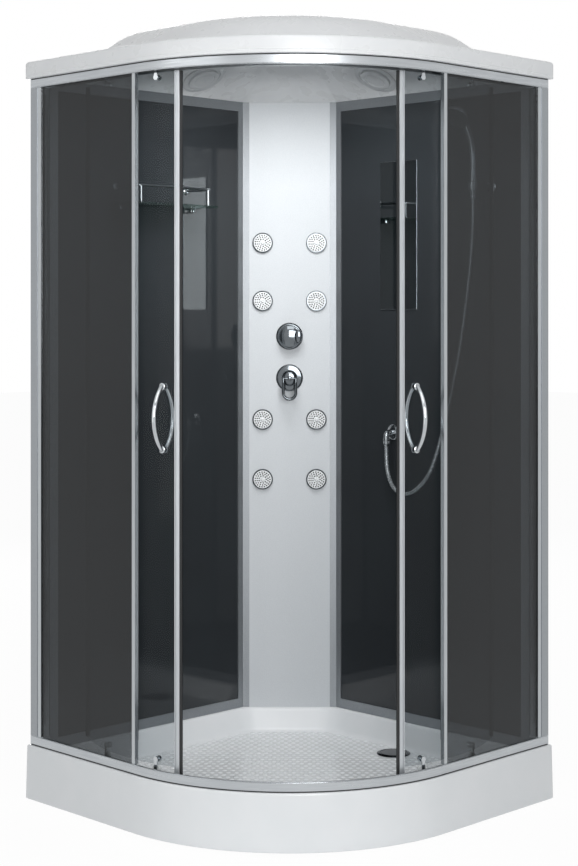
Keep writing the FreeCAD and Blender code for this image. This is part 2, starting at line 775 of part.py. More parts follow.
def make_column():
    body = doc.addObject("PartDesign::Body", "column_blank")
    sketch = flat_sketch(body, "column_outline")
    half, tall = value("column_half - column_profile"), value("roof_bottom - ledge_top")
    corners = [FreeCAD.Vector(x, y, 0) for x, y in ((-half, 0), (half, 0), (half, tall), (-half, tall))]
    for i in range(4):
        sketch.addGeometry(Part.LineSegment(corners[i], corners[(i + 1) % 4]), False)
    rules = [("Coincident", i, 2, (i + 1) % 4, 1) for i in range(4)]
    rules += [("Horizontal", 0), ("Vertical", 1), ("Horizontal", 2), ("Vertical", 3),
              ("Symmetric", 0, 1, 0, 2, -1, 1)]
    constrain(sketch, rules, [
        ("DistanceX", (0, 1, 0, 2), 2 * half, "width", "2 * (column_half - column_profile)"),
        ("DistanceY", (1, 1, 1, 2), tall, "height", "roof_bottom - ledge_top"),
    ])
    pad = body.newObject("PartDesign::Pad", "column_pad")
    pad.Profile = sketch
    bind(pad, Length="column_sheet")
    body.Placement = column_place("0", "ledge_top", "-column_sheet")
    holes = [column_hole(f"column_jet_{i}", "jet_tail + running_gap", *spot)
             for i, spot in enumerate(JET_SPOTS)]
    holes += [column_hole("column_" + valve, "valve_neck + running_gap", "0", valve) for valve in VALVES]
    keep("column_panel", cut("column_panel", body, group("column_holes", *holes)))


# ---- jets -----------------------------------------------------------------------------------

def make_jets():
    collars = []
    for i, (u, height) in enumerate(JET_SPOTS, start=1):
        rim = cut(f"jet_rim_{i}", rod(f"jet_rim_o_{i}", "jet_radius", "jet_rim"),
                  rod(f"jet_rim_i_{i}", "jet_radius - jet_ring", "jet_rim", z="jet_plate"))
        tail = rod(f"jet_tail_{i}", "jet_tail", "jet_tail_length", z="-jet_tail_length")
        nut = hexagon(f"jet_nut_{i}", "jet_tail + lock_nut_over", "lock_nut_height",
                      z="-column_sheet - lock_nut_height")
        port = rod(f"jet_port_{i}", "jet_port", "jet_tail_length + 2 * jet_plate",
                   z="-jet_tail_length - 1")
        collar = cut(f"jet_collar_{i}", fuse(f"jet_body_{i}", rim, tail, nut), port)
        collar.Placement = column_place(u, height)
        collars.append(collar)
        back = "jet_pivot - jet_face_sheet / 2"
        face = rod(f"jet_face_{i}", "jet_face", "jet_face_sheet", z=back)
        nozzle = cone(f"jet_nozzle_{i}", "nozzle_low", "nozzle_high", "nozzle_height",
                      z=f"{back} + jet_face_sheet")
        head = fuse(f"jet_head_{i}", face, nozzle, ball(f"jet_ball_{i}", "jet_ball", z="jet_pivot"))
        head.Placement = column_place(u, height)
        keep(f"jet_head_{i}", head)
    keep("jet_collars", group("jet_collars", *collars))


# ---- valves and pipes behind the column ---------------------------------------------------------

def make_valves():
    plates = []
    for valve in VALVES:
        plate = rod("plate_" + valve, "valve_plate", "valve_plate_sheet")
        back = "(column_sheet + valve_neck_length)"
        neck = rod("neck_" + valve, "valve_neck", back, z=f"-{back}")
        whole = fuse("valve_" + valve, plate, neck)
        whole.Placement = column_place("0", valve)
        plates.append(whole)
    keep("valve_plates", group("valve_plates", *plates))


def make_diverter_knob():
    start = "(valve_plate_sheet + running_gap)"
    disc = rod("knob_disc", "knob_radius", "knob_height", z=start)
    crown = cone("knob_crown", "knob_radius", "knob_radius - knob_bevel", "knob_crown",
                 z=f"{start} + knob_height")
    pointer = box("knob_pointer", (0, "-pointer_half", f"{start} + pointer_lift"),
                  ("knob_radius + pointer_reach", "pointer_half", f"{start} + knob_height"))
    knob = fuse("diverter_knob", disc, crown, pointer)
    knob.Placement = column_place("0", "diverter_height")
    keep("diverter_knob", knob)


def make_mixer():
    start = "(valve_plate_sheet + running_gap)"
    wall = rod("dome_wall", "mixer_dome", "mixer_dome_height", z=start)
    cap = cone("dome_cap", "mixer_dome", "mixer_dome - knob_bevel", "dome_crown",
               z=f"{start} + mixer_dome_height")
    lug = box("dome_lug", ("-lug_half", "-lug_side", start),
              ("lug_half", "lug_side", "lever_stand + lug_over"))
    eye = rod_x("dome_eye", "pin_radius + pin_play", "4 * lug_half", "-2 * lug_half", 0, "lever_stand")
    dome = cut("mixer_dome", fuse("dome_body", wall, cap, lug), eye)
    bow = bend("lever_bow", "lever_half", "lever_rod", "180", 0, "-lever_drop", "lever_stand")
    pieces = [rod_x("lever_pin", "pin_radius", "2 * lever_half", "-lever_half", 0, "lever_stand"),
              turn(bow, (0, 0, 1), 180)]
    for side in ("-", ""):
        x = side + "lever_half"
        pieces += [rod_y("lever_arm" + side, "lever_rod", "lever_drop", x, 0, "lever_stand"),
                   ball("lever_knuckle" + side, "lever_rod", x, 0, "lever_stand")]
    lever = fuse("mixer_lever", *pieces)
    for item in (dome, lever):
        item.Placement = column_place("0", "mixer_height")
        keep(item.Name, item)


def rod_along_column(name, radius, length, u, height):
    base = column_place(u, height, "-pipe_depth").Base
    return put(rod(name, radius, length), FreeCAD.Placement(base, FreeCAD.Rotation(Z, ALONG_COLUMN)))


def rod_up_column(name, radius, length, u, height):
    return put(rod(name, radius, length), upright(column_place(u, height, "-pipe_depth").Base))


def make_pipes():
    pieces = [rod_up_column("valve_link", "stub_radius", "diverter_height - mixer_height",
                            "0", "mixer_height"),
              rod_along_column("feed_bar", "feed_bar", "2 * (feed_side + feed_bar_end)",
                               "-feed_side - feed_bar_end", "mixer_height")]
    for side in ("-", ""):
        pieces.append(rod_up_column("riser" + side, "pipe_radius", "row_four - row_one + 2 * riser_end",
                                    side + "jet_side", "row_one - riser_end"))
        pieces.append(rod_up_column("feed" + side, "pipe_radius", "mixer_height - feed_low",
                                    side + "feed_side", "feed_low"))
        pieces.append(rod_up_column("tail" + side, "tail_radius", "tail_length",
                                    side + "feed_side", "feed_low"))
    for i, (u, row) in enumerate(JET_SPOTS):
        stub = rod(f"stub_{i}", "stub_radius", "pipe_depth - jet_tail_length")
        pieces.append(put(stub, column_place(u, row, "-pipe_depth")))
    for row in ("row_one", "row_four", "diverter_height"):
        pieces.append(rod_along_column("rung_" + row, "stub_radius", "2 * jet_side", "-jet_side", row))
    for valve in VALVES:
        chest = rod("chest_" + valve, "valve_neck + chest_over", "chest_length")
        depth = "-column_sheet - valve_neck_length - chest_length"
        pieces.append(put(chest, column_place("0", valve, depth)))
    keep("water_manifold", fuse("water_manifold", *pieces))


# ---- hand shower: its outlet, holder, handset and hose --------------------------------------------

OUTLET_Y = f"({GLASS_FACE} - outlet_reach)"
OUTLET_END = FreeCAD.Vector(size("outlet_x"), value(OUTLET_Y), value("outlet_height - outlet_drop"))
HOLDER = FreeCAD.Vector(size("holder_x"), value(f"{WALL_IN} - holder_stand"), size("holder_height"))
GRIP_TAPER = "((grip_large - grip_small) / (2 * grip_low))"


def make_outlet():
    x, z = "outlet_x", "outlet_height"
    pipe_y, turn_x = f"({WALL_IN} + side_pipe_depth)", f"({WALL_END} + side_pipe_past)"
    run_end = FreeCAD.Vector(-value(turn_x), value(pipe_y), size("outlet_height"))
    riser = column_place("jet_side", z, "-pipe_depth").Base
    slant = riser - run_end
    slant_rod = rod("outlet_slant", "side_pipe", slant.Length - value("pipe_radius + running_gap"))
    put(slant_rod, FreeCAD.Placement(run_end, FreeCAD.Rotation(Z, slant)))
    keep("hose_outlet", fuse(
        "hose_outlet",
        rod_y("outlet_rose", "outlet_rose", "outlet_rose_height", x, GLASS_FACE, z),
        rod_y("outlet_neck", "pipe_radius", f"{pipe_y} - {OUTLET_Y}", x, pipe_y, z),
        ball("outlet_knee", "outlet_knee", x, OUTLET_Y, z),
        rod("outlet_spout", "pipe_radius", "outlet_drop", x, OUTLET_Y, f"{z} - outlet_drop"),
        ball("outlet_back_knee", "side_pipe", x, pipe_y, z),
        rod_x("outlet_run", "side_pipe", f"{x} + {turn_x}", f"-{turn_x}", pipe_y, z),
        ball("outlet_run_knee", "side_pipe", f"-{turn_x}", pipe_y, z), slant_rod))


def grip_radius(height):
    """Radius of the tapered grip at a height above the holder's middle."""
    return f"grip_small + ({height} + grip_low) * {GRIP_TAPER}"


def make_hand_shower():
    low, high = "(-cup_height / 2 - 1)", "(cup_height / 2 + 1)"
    cup = rod("cup_out", "cup_radius", "cup_height", z="-cup_height / 2")
    bore = cone("cup_bore", f"{grip_radius(low)} + cup_play", f"{grip_radius(high)} + cup_play",
                "cup_height + 2", z=low)
    arm = rod_y("holder_arm", "holder_arm", "holder_stand + wall_glass_recess - grip_large", 0,
                "holder_stand + wall_glass_recess", 0)
    rose = rod_y("holder_rose", "holder_rose", "holder_rose_height", 0, "holder_stand + wall_glass_recess", 0)
    holder = cut("shower_holder", fuse("holder_body", cup, arm, rose), bore)
    grip = cone("grip", "grip_small", "grip_large", "2 * grip_low", z="-grip_low")
    waist = cone("waist", "grip_large", "handle_thin", "handle_straight - grip_low", z="grip_low")
    neck = bend("handset_neck", "handle_bend", "handle_thin", "handle_sweep", 0, "-handle_bend",
                "handle_straight")
    neck.Placement.Rotation = FreeCAD.Rotation(FreeCAD.Vector(0, 1, 0), Z, FreeCAD.Vector(1, 0, 0), "XYZ")
    head = fuse("shower_head",
                cone("head_dish", "head_small", "head_radius", "head_dish", z="-head_back"),
                rod("head_disc", "head_radius", "head_sheet", z="head_dish - head_back"))
    place(head, 0, "handle_bend * (cos(head_along) - 1)", "handle_straight + handle_bend * sin(head_along)")
    turn(head, (1, 0, 0), size("head_aim"))
    for item in (holder, fuse("handset", grip, waist, neck, head)):
        item.Placement = upright(HOLDER)
        keep(item.Name, item)


def rounded_path(points):
    """Straight runs joined by tangent arcs, each as large as its two runs allow."""
    edges, radii, here = [], [], points[0]
    for before, corner, after in zip(points, points[1:], points[2:]):
        into, out = (corner - before), (after - corner)
        reach = 0.45 * min(into.Length, out.Length)
        into.normalize()
        out.normalize()
        turn_angle = into.getAngle(out)
        radii.append(reach / math.tan(turn_angle / 2))
        first, last = corner - into * reach, corner + out * reach
        bisector = (out - into).normalize()
        middle = corner + bisector * (radii[-1] / math.cos(turn_angle / 2) - radii[-1])
        edges += [Part.LineSegment(here, first).toShape(), Part.Arc(first, middle, last).toShape()]
        here = last
    edges.append(Part.LineSegment(here, points[-1]).toShape())
    return Part.Wire(edges), radii


def make_hose():
    start = OUTLET_END - Z * size("nut_length")
    end = HOLDER - Z * value("grip_low + nut_length")
    wall = FreeCAD.Vector(0, value(GLASS_FACE), 0)
    points = [start] + [wall + FreeCAD.Vector(*point) for point in HOSE_POINTS] + [end]
    path, radii = rounded_path(points)
    ring = Part.Wire(Part.makeCircle(size("hose_radius"), points[0], points[1] - points[0]))
    hose = doc.addObject("Part::Feature", "shower_hose")
    hose.Shape = path.makePipeShell([ring], True, False)
    plain = math.pi * size("hose_radius") ** 2 * path.Length
    print("hose length", round(path.Length, 1), "least radius", round(min(radii), 1),
          "volume ratio", round(hose.Shape.Volume / plain, 4))
    keep("shower_hose", hose)
    for node, base in (("hose_nut_outlet", start), ("hose_nut_handset", end)):
        keep(node, put(rod(node, "nut_radius", "nut_length"), upright(base)))


# ---- shelf and mirror -------------------------------------------------------------------------

def make_shelf():
    wall = f"-{GLASS_FACE}"
    front = f"({wall} + shelf_depth)"
    end = "(shelf_start + shelf_length)"
    top = "(shelf_height + shelf_sheet)"
    keep("shelf_glass", box("shelf_glass", (wall, "shelf_start", "shelf_height"), (front, end, top)))
    line, rail_z = f"({front} - rail_from_edge)", f"({top} + rail_post_height)"
    low_y, high_y = "(shelf_start + rail_post_inset)", f"({end} - rail_post_inset)"
    pieces = [rod_y("rail_bar", "rail_post_radius", f"{high_y} - {low_y}", line, high_y, rail_z)]
    clamps = []
    for name, y in (("near", low_y), ("far", high_y)):
        pieces += [
            rod("rail_post_" + name, "rail_post_radius", "rail_post_height", line, y, top),
            ball("rail_knuckle_" + name, "rail_post_radius", line, y, rail_z),
            rod_x("rail_back_" + name, "rail_post_radius", f"{line} - ({wall})", wall, y, rail_z),
            rod_x("rail_rose_" + name, "rail_rose", "rail_rose_height", wall, y, rail_z),
        ]
        clamps.append(box("shelf_clamp_" + name,
                          (wall, f"{y} - shelf_clamp_half", "shelf_height - shelf_clamp_height"),
                          (f"{wall} + shelf_clamp", f"{y} + shelf_clamp_half", "shelf_height")))
    keep("shelf_rail", group("shelf_rail", fuse("gallery", *pieces), *clamps))


def make_mirror():
    keep("mirror", box("mirror", ("mirror_left", f"{GLASS_FACE} - mirror_sheet", "mirror_low"),
                       ("mirror_left + mirror_width", GLASS_FACE, "mirror_low + mirror_height")))


# ---- doors ------------------------------------------------------------------------------------

OUTER = "(door_radius + glass_sheet)"
MID = "(door_radius + glass_sheet / 2)"
ROLLER_IN = "(door_radius - roller_inset)"
CLAMP_IN = "(door_radius - clamp_height)"


def arc_angle(length):
    """Angle that a length takes up on the door's curve."""
    return f"(({length}) / {MID} * 180 / pi)"


LEAD = f"(45 - {arc_angle('door_gap / 2')})"
AXLES = {
    "bottom": "(rim_top + rail_sheet + track_rise + running_gap + bottom_roller)",
    "top": "(top_rail_bottom + rail_sheet + running_gap + top_roller)",
}
CLAMPS = {
    "bottom": "(door_glass_bottom + clamp_from_edge)",
    "top": "(door_glass_top - clamp_from_edge)",
}
LEG_ENDS = {
    "bottom": (f"{AXLES['bottom']} - leg_past_axle", CLAMPS["bottom"]),
    "top": (CLAMPS["top"], f"{AXLES['top']} + leg_past_axle"),
}


def roller_stations():
    """Angles of the two pairs of rollers from -Y, first the one by the leading edge."""
    first = value(LEAD) - size("roller_lead")
    return [first, first - size("roller_spread")]


def glass_hole(name, angle, height):
    """A hole through the door glass, at an angle from -Y."""
    start = FreeCAD.Vector(0, value(f"-{CLAMP_IN}"), value(height))
    lying = FreeCAD.Placement(start, FreeCAD.Rotation(FreeCAD.Vector(1, 0, 0), 90))
    round_arc = FreeCAD.Placement(FreeCAD.Vector(), FreeCAD.Rotation(Z, angle))
    return put(rod(name, "bolt_radius + running_gap", "3 * clamp_height"), round_arc.multiply(lying))


def make_bracket(tag, end):
    """A roller bracket: button, bolt through the glass, plate, leg and axle."""
    axle, clamp = AXLES[end], CLAMPS[end]
    leg_low, leg_high = LEG_ENDS[end]
    return fuse(
        "bracket_" + tag,
        rod_y("hub_" + tag, "bolt_radius", f"{OUTER} - {CLAMP_IN} + bracket_sheet", 0, f"-{CLAMP_IN}", clamp),
        rod_y("button_" + tag, "clamp_radius", "clamp_height - running_gap", 0, f"-{CLAMP_IN}", clamp),
        rod_y("disc_" + tag, "clamp_radius", "bracket_sheet", 0, f"-{OUTER}", clamp),
        box("leg_" + tag, ("-bracket_width / 2", f"-{OUTER} - bracket_sheet", leg_low),
            ("bracket_width / 2", f"-{OUTER}", leg_high)),
        rod_y("axle_" + tag, "roller_bore", f"{OUTER} - {ROLLER_IN} + bracket_sheet / 2", 0,
              f"-{ROLLER_IN}", axle))


def make_roller(tag, end):
    wheel = rod_y("wheel_" + tag, f"{end}_roller", "roller_width", 0, f"-{ROLLER_IN}", AXLES[end])
    bore = rod_y("wheel_bore_" + tag, "roller_bore + pin_play", "roller_width + 2", 0,
                 f"-{ROLLER_IN} + 1", AXLES[end])
    return cut("roller_" + tag, wheel, bore)


def make_handles(angle):
    """A bow outside and a bow inside, clamped through the glass by two bolts."""
    rise = size("handle_high") - size("handle_low")
    bow = size("handle_bow")
    radius = (rise ** 2 / 4 + bow ** 2) / (2 * bow)
    half = math.degrees(math.asin(rise / 2 / radius))
    middle = (size("handle_high") + size("handle_low")) / 2
    pieces = []
    for name, out, face in (("outer", 1, value(OUTER)), ("inner", -1, size("door_radius"))):
        ring = bend("handle_bow_" + name, radius, "handle_rod", 2 * half)
        centre = FreeCAD.Vector(0, -face - out * (size("handle_boss_height") + bow - radius), middle)
        spin = FreeCAD.Rotation(FreeCAD.Vector(0, -out, 0), Z, FreeCAD.Vector(1, 0, 0), "XYZ")
        pieces.append(put(ring, FreeCAD.Placement(centre, spin.multiply(FreeCAD.Rotation(Z, -half)))))
    for z in ("handle_low", "handle_high"):
        pieces += [
            rod_y("outer_boss_" + z, "handle_boss", "handle_boss_height", 0, f"-{OUTER}", z),
            rod_y("inner_boss_" + z, "handle_boss", "handle_boss_height - running_gap", 0,
                  "handle_boss_height - door_radius", z),
            rod_y("handle_bolt_" + z, "bolt_radius", "glass_sheet + 2", 0, "1 - door_radius", z),
        ]
    handles = fuse("door_handle", *pieces)
    handles.Placement = door_place(angle)
    return handles


def make_door_glass(holes):
    """The pane, its leading profile, and the seals at its two upright edges."""
    low, high = "door_glass_bottom", "door_glass_top"
    magnet, lead, wiper = arc_angle("magnet_face"), arc_angle("lead_face"), arc_angle("trail_seal_face")
    trail = f"({LEAD} - door_sweep)"
    lead_low = "(rim_top + rail_sheet + inner_lip_height + lead_gap)"
    glass = sector("door_glass_blank", "door_radius", OUTER, low, high, trail,
                   f"door_sweep - {magnet} - {lead} + {arc_angle('glass_seat')}")
    profile = sector("lead_profile_bar", f"{MID} - lead_depth / 2", f"{MID} + lead_depth / 2",
                     lead_low, f"{high} + 1", f"{LEAD} - {magnet} - {lead}", lead)
    slot = sector("lead_slot", "door_radius - running_gap", f"{OUTER} + running_gap",
                  low, high, f"{LEAD} - {magnet} - {lead} - 1", f"{arc_angle('glass_seat')} + 1")
    seals = group("door_seals",
                  sector("magnet_seal", f"{MID} - magnet_depth / 2", f"{MID} + magnet_depth / 2",
                         lead_low, high, f"{LEAD} - {magnet}", magnet),
                  sector("trail_seal", "door_radius - seal_sheet", f"{OUTER} + profile_lap",
                         low, high, f"{trail} - {wiper}", wiper))
    pieces = {"door_glass": cut("door_glass", glass, group("door_holes", *holes)),
              "door_lead_profile": cut("lead_profile", profile, slot), "door_seals": seals}
    for node, item in pieces.items():
        item.Placement = door_place()
        both_sides(node, item)


def make_door():
    holes, brackets = [], []
    for i, angle in enumerate(roller_stations(), start=1):
        for end in ("bottom", "top"):
            tag = f"{end}_{i}"
            bracket, roller = make_bracket(tag, end), make_roller(tag, end)
            bracket.Placement = roller.Placement = door_place(angle)
            brackets.append(bracket)
            both_sides("door_roller_" + tag, roller)
            holes.append(glass_hole("glass_hole_" + tag, angle, CLAMPS[end]))
    both_sides("roller_brackets", group("roller_brackets", *brackets))
    handle_angle = value(f"{LEAD} - handle_lead")
    both_sides("door_handle", make_handles(handle_angle))
    holes += [glass_hole("glass_hole_" + z, handle_angle, z) for z in ("handle_low", "handle_high")]
    make_door_glass(holes)


# ---- roof ---------------------------------------------------------------------------------------

def make_roof():
    body = doc.addObject("PartDesign::Body", "roof")
    over = "-roof_overhang"
    fascia = "(roof_bottom + fascia_height)"
    ceiling = "(roof_bottom + ceiling_rise)"
    loft(body, "fascia", [outline(body, "fascia_low", "roof_bottom", over, over, "back_cut"),
                          outline(body, "fascia_high", fascia, over, over, "back_cut")])
    steps = [outline(body, f"dome_{i}", f"{fascia} + {share} * (dome_top - {fascia})",
                     inset, inset, "dome_cut") for i, (inset, share) in enumerate(DOME_STEPS)]
    for i, (low, high) in enumerate(zip(steps, steps[1:])):
        loft(body, f"dome_loft_{i}", [low, high])
    far = "(wall_depth + ceiling_run)"
    loft(body, "ceiling", [
        outline(body, "ceiling_low", "roof_bottom - 0.01", BACK, "wall_depth", column_leg("wall_depth", "0")),
        outline(body, "ceiling_high", ceiling, f"{BACK} + ceiling_run", far, column_leg(far, "ceiling_run")),
    ], cutting=True)
    loft(body, "vault", [
        outline(body, "vault_low", f"{ceiling} - 0.5", "vault_start", "vault_start", "dome_cut"),
        outline(body, "vault_high", "dome_top - vault_sheet", "vault_end", "vault_end", "dome_cut"),
    ], cutting=True)
    keep("roof", body)


def make_ceiling_discs():
    slope = math.degrees(math.atan2(size("ceiling_rise"), size("ceiling_run")))
    rise = size("disc_run") * math.tan(math.radians(slope)) - size("pin_play")
    base = FreeCAD.Vector(value(f"disc_run - {WALL_IN}"), size("disc_along"), size("roof_bottom") + rise)
    disc = fuse("left_disc", rod("disc_plate", "disc_ring", "disc_sheet"),
                rod("disc_middle", "disc_radius", "disc_height"))
    disc.Placement = FreeCAD.Placement(base, FreeCAD.Rotation(FreeCAD.Vector(0, 1, 0), 180 - slope))
    pair("ceiling_discs", disc)


for make in (make_tray, make_support, make_drain, make_rails, make_fixed_side, make_walls, make_column,
             make_jets, make_valves, make_diverter_knob, make_mixer, make_pipes, make_outlet,
             make_hand_shower, make_hose, make_shelf, make_mirror, make_door, make_roof,
             make_ceiling_discs):
    make()
doc.recompute()

faults = [item.Label for item in doc.Objects if "Invalid" in item.State or "Error" in item.State]
faults += [node for node, item in parts.items() if item.Shape.isNull() or not item.Shape.isValid()]
if faults:
    raise SystemExit(f"not built: {faults}")
os.makedirs("parts", exist_ok=True)
for node, item in parts.items():
    item.Shape.exportStep(f"parts/{node}.step")
print(len(parts), "nodes; door pole", POLE, "turn", round(SWING, 3))
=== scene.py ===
import json
import math
import bmesh
import bpy
from mathutils import Matrix, Vector


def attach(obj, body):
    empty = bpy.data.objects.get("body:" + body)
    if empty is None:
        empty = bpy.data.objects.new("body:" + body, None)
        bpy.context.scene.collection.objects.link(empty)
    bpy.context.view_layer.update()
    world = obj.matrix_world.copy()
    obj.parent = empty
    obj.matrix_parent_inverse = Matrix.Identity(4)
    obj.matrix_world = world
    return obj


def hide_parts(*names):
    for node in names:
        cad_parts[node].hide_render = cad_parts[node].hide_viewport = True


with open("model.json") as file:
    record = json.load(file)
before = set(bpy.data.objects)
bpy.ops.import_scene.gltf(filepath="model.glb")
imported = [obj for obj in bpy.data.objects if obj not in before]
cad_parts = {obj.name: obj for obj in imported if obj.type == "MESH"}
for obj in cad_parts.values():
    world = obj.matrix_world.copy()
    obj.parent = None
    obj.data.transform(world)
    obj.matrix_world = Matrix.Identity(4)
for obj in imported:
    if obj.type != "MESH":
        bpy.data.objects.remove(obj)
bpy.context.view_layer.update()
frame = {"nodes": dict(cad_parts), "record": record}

# Quadrant shower cabin. Meshes are built in millimetres in the cabin's own frame and scaled to metres.
# u runs along the corner column from left to right, d runs square to it, out of the corner.
mm = 0.001
root2 = math.sqrt(2)
scene = bpy.context.scene

# camera, floor and light
cameraSet = {"distance": 4.651, "height": 1.306, "lens": 72, "shiftX": -0.0006, "shiftY": -0.1389}
studio = {"floorSide": 40, "floorColour": "#f4f5f5", "floorGlow": 0.965,
          "worldColour": "#f6f8fa", "worldStrength": 0.22,
          "keyPower": 138, "keySide": 2.2, "keyPlace": (4.9, -3.5, 2.15),
          "fillPower": 18, "fillSide": 2.6, "fillPlace": (-0.6, -4.2, 1.6),
          "topPower": 40, "topSide": 2.0, "topPlace": (2.6, -2.1, 3.9),
          "rearPower": 95, "rearSide": 2.4, "rearPlace": (-3.8, 3.2, 2.5),
          "insidePower": 9, "insideSide": 0.5, "insidePlace": (0.1, -0.1, 1.9),
          "aim": (0, 0, 1.15)}

camera = bpy.data.objects.new("camera", bpy.data.cameras.new("camera"))
scene.collection.objects.link(camera)
camera.location = (cameraSet["distance"] / root2, -cameraSet["distance"] / root2, cameraSet["height"])
camera.rotation_euler = (math.radians(90), 0, math.radians(45))
camera.data.lens = cameraSet["lens"]
camera.data.sensor_width = 36
camera.data.shift_x = cameraSet["shiftX"]
camera.data.shift_y = cameraSet["shiftY"]
camera.data.dof.use_dof = False
scene.camera = camera
scene.view_settings.view_transform = "Standard"


def hexToLinear(text):
    parts = [int(text[i:i + 2], 16) / 255 for i in (1, 3, 5)]
    return [p / 12.92 if p <= 0.04045 else ((p + 0.055) / 1.055) ** 2.4 for p in parts] + [1.0]


def addNode(tree, kind, inputs=None, **settings):
    # inputs: a socket is linked, anything else becomes the input's own value
    node = tree.nodes.new(kind)
    for name, value in settings.items():
        setattr(node, name, value)
    for name, value in (inputs or {}).items():
        if isinstance(value, bpy.types.NodeSocket):
            tree.links.new(value, node.inputs[name])
        else:
            node.inputs[name].default_value = value
    return node


def emptyTree(owner):
    owner.use_nodes = True
    owner.node_tree.nodes.clear()
    return owner.node_tree


def seenDirectly(tree):
    # 1 for camera, glossy and transmission rays
    path = addNode(tree, "ShaderNodeLightPath")
    first = addNode(tree, "ShaderNodeMath", {0: path.outputs["Is Camera Ray"], 1: path.outputs["Is Glossy Ray"]},
                    operation="MAXIMUM")
    return addNode(tree, "ShaderNodeMath", {0: first.outputs[0], 1: path.outputs["Is Transmission Ray"]},
                   operation="MAXIMUM").outputs[0]


world = bpy.data.worlds.new("studio")
scene.world = world
tree = emptyTree(world)
soft = addNode(tree, "ShaderNodeBackground", {"Color": hexToLinear(studio["worldColour"]),
                                              "Strength": studio["worldStrength"]})
white = addNode(tree, "ShaderNodeBackground", {"Color": (1, 1, 1, 1), "Strength": 1.0})
both = addNode(tree, "ShaderNodeMixShader", {0: seenDirectly(tree), 1: soft.outputs[0], 2: white.outputs[0]})
addNode(tree, "ShaderNodeOutputWorld", {"Surface": both.outputs[0]})

floorMaterial = bpy.data.materials.new("paleFloor")
tree = emptyTree(floorMaterial)
matt = addNode(tree, "ShaderNodeBsdfDiffuse", {"Color": hexToLinear(studio["floorColour"])})
glow = addNode(tree, "ShaderNodeEmission", {"Color": (1, 1, 1, 1), "Strength": 1.0})
share = addNode(tree, "ShaderNodeMath", {0: seenDirectly(tree), 1: studio["floorGlow"]}, operation="MULTIPLY")
both = addNode(tree, "ShaderNodeMixShader", {0: share.outputs[0], 1: matt.outputs[0], 2: glow.outputs[0]})
addNode(tree, "ShaderNodeOutputMaterial", {"Surface": both.outputs[0]})
half = studio["floorSide"] / 2
floorMesh = bpy.data.meshes.new("floor")
floorMesh.from_pydata([(-half, -half, 0), (half, -half, 0), (half, half, 0), (-half, half, 0)], [], [(0, 1, 2, 3)])
floorMesh.materials.append(floorMaterial)
floor = bpy.data.objects.new("floor", floorMesh)
scene.collection.objects.link(floor)

for name in ("key", "fill", "top", "rear", "inside"):  # inside: a small soft box under the roof
    lamp = bpy.data.lights.new(name + "Lamp", "AREA")
    lamp.energy, lamp.size = studio[name + "Power"], studio[name + "Side"]
    item = bpy.data.objects.new(name + "Lamp", lamp)
    item.location = studio[name + "Place"]
    item.visible_camera = item.visible_transmission = False
    item.visible_glossy = name != "inside"
    item.rotation_euler = (Vector(studio["aim"]) - item.location).to_track_quat("-Z", "Y").to_euler()
    scene.collection.objects.link(item)
print("camera, floor and lamps ready")


# materials
def newSurface(name, colour, **inputs):
    material = bpy.data.materials.new(name)
    tree = emptyTree(material)
    shader = addNode(tree, "ShaderNodeBsdfPrincipled", {"Base Color": hexToLinear(colour), **inputs})
    addNode(tree, "ShaderNodeOutputMaterial", {"Surface": shader.outputs[0]})
    return material, tree, shader


def placeNoise(tree, size, stretch=(1, 1, 1), detail=2.0):
    # noise whose grains are about size millimetres, longer along an axis whose stretch is under 1
    where = addNode(tree, "ShaderNodeTexCoord")
    scaled = addNode(tree, "ShaderNodeMapping", {"Vector": where.outputs["Object"], "Scale": stretch})
    return addNode(tree, "ShaderNodeTexNoise", {"Vector": scaled.outputs[0], "Scale": 1000 / size,
                                                "Detail": detail}).outputs[0]


def spread(tree, source, low, high):
    return addNode(tree, "ShaderNodeMapRange", {"Value": source, "From Min": 0.3, "From Max": 0.7,
                                                "To Min": low, "To Max": high}).outputs[0]


def tint(tree, shader, source, first, second):
    mix = addNode(tree, "ShaderNodeMix", {0: source, 6: hexToLinear(first), 7: hexToLinear(second)}, data_type="RGBA")
    tree.links.new(mix.outputs[2], shader.inputs["Base Color"])


def bump(tree, shader, source, height):
    node = addNode(tree, "ShaderNodeBump", {"Height": source, "Distance": height * mm, "Strength": 1.0})
    tree.links.new(node.outputs[0], shader.inputs["Normal"])


def makeSurface(name, first, second, grain, roughness, height=0.0, stretch=(1, 1, 1), **inputs):
    # two near colours, a range of roughness and a height in mm, all following one grain
    material, tree, shader = newSurface(name, first, **inputs)
    noise = placeNoise(tree, grain, stretch)
    tint(tree, shader, spread(tree, noise, 0, 1), first, second)
    tree.links.new(spread(tree, noise, *roughness), shader.inputs["Roughness"])
    if height:
        bump(tree, shader, noise, height)
    return material


def makeGlass(name, through, body, share, ripple):
    # a pane is passed through twice, so each face lets through the root of what the pane does
    material, tree, shader = newSurface(name, body, **{"IOR": 1.5, "Roughness": 0.03})
    noise = placeNoise(tree, 260, detail=1.0)
    bump(tree, shader, noise, ripple)
    clear = addNode(tree, "ShaderNodeBsdfTransparent", {"Color": hexToLinear(through)})
    both = addNode(tree, "ShaderNodeMixShader", {0: share, 1: clear.outputs[0], 2: shader.outputs[0]})
    output = [n for n in tree.nodes if n.type == "OUTPUT_MATERIAL"][0]
    tree.links.new(both.outputs[0], output.inputs["Surface"])
    return material


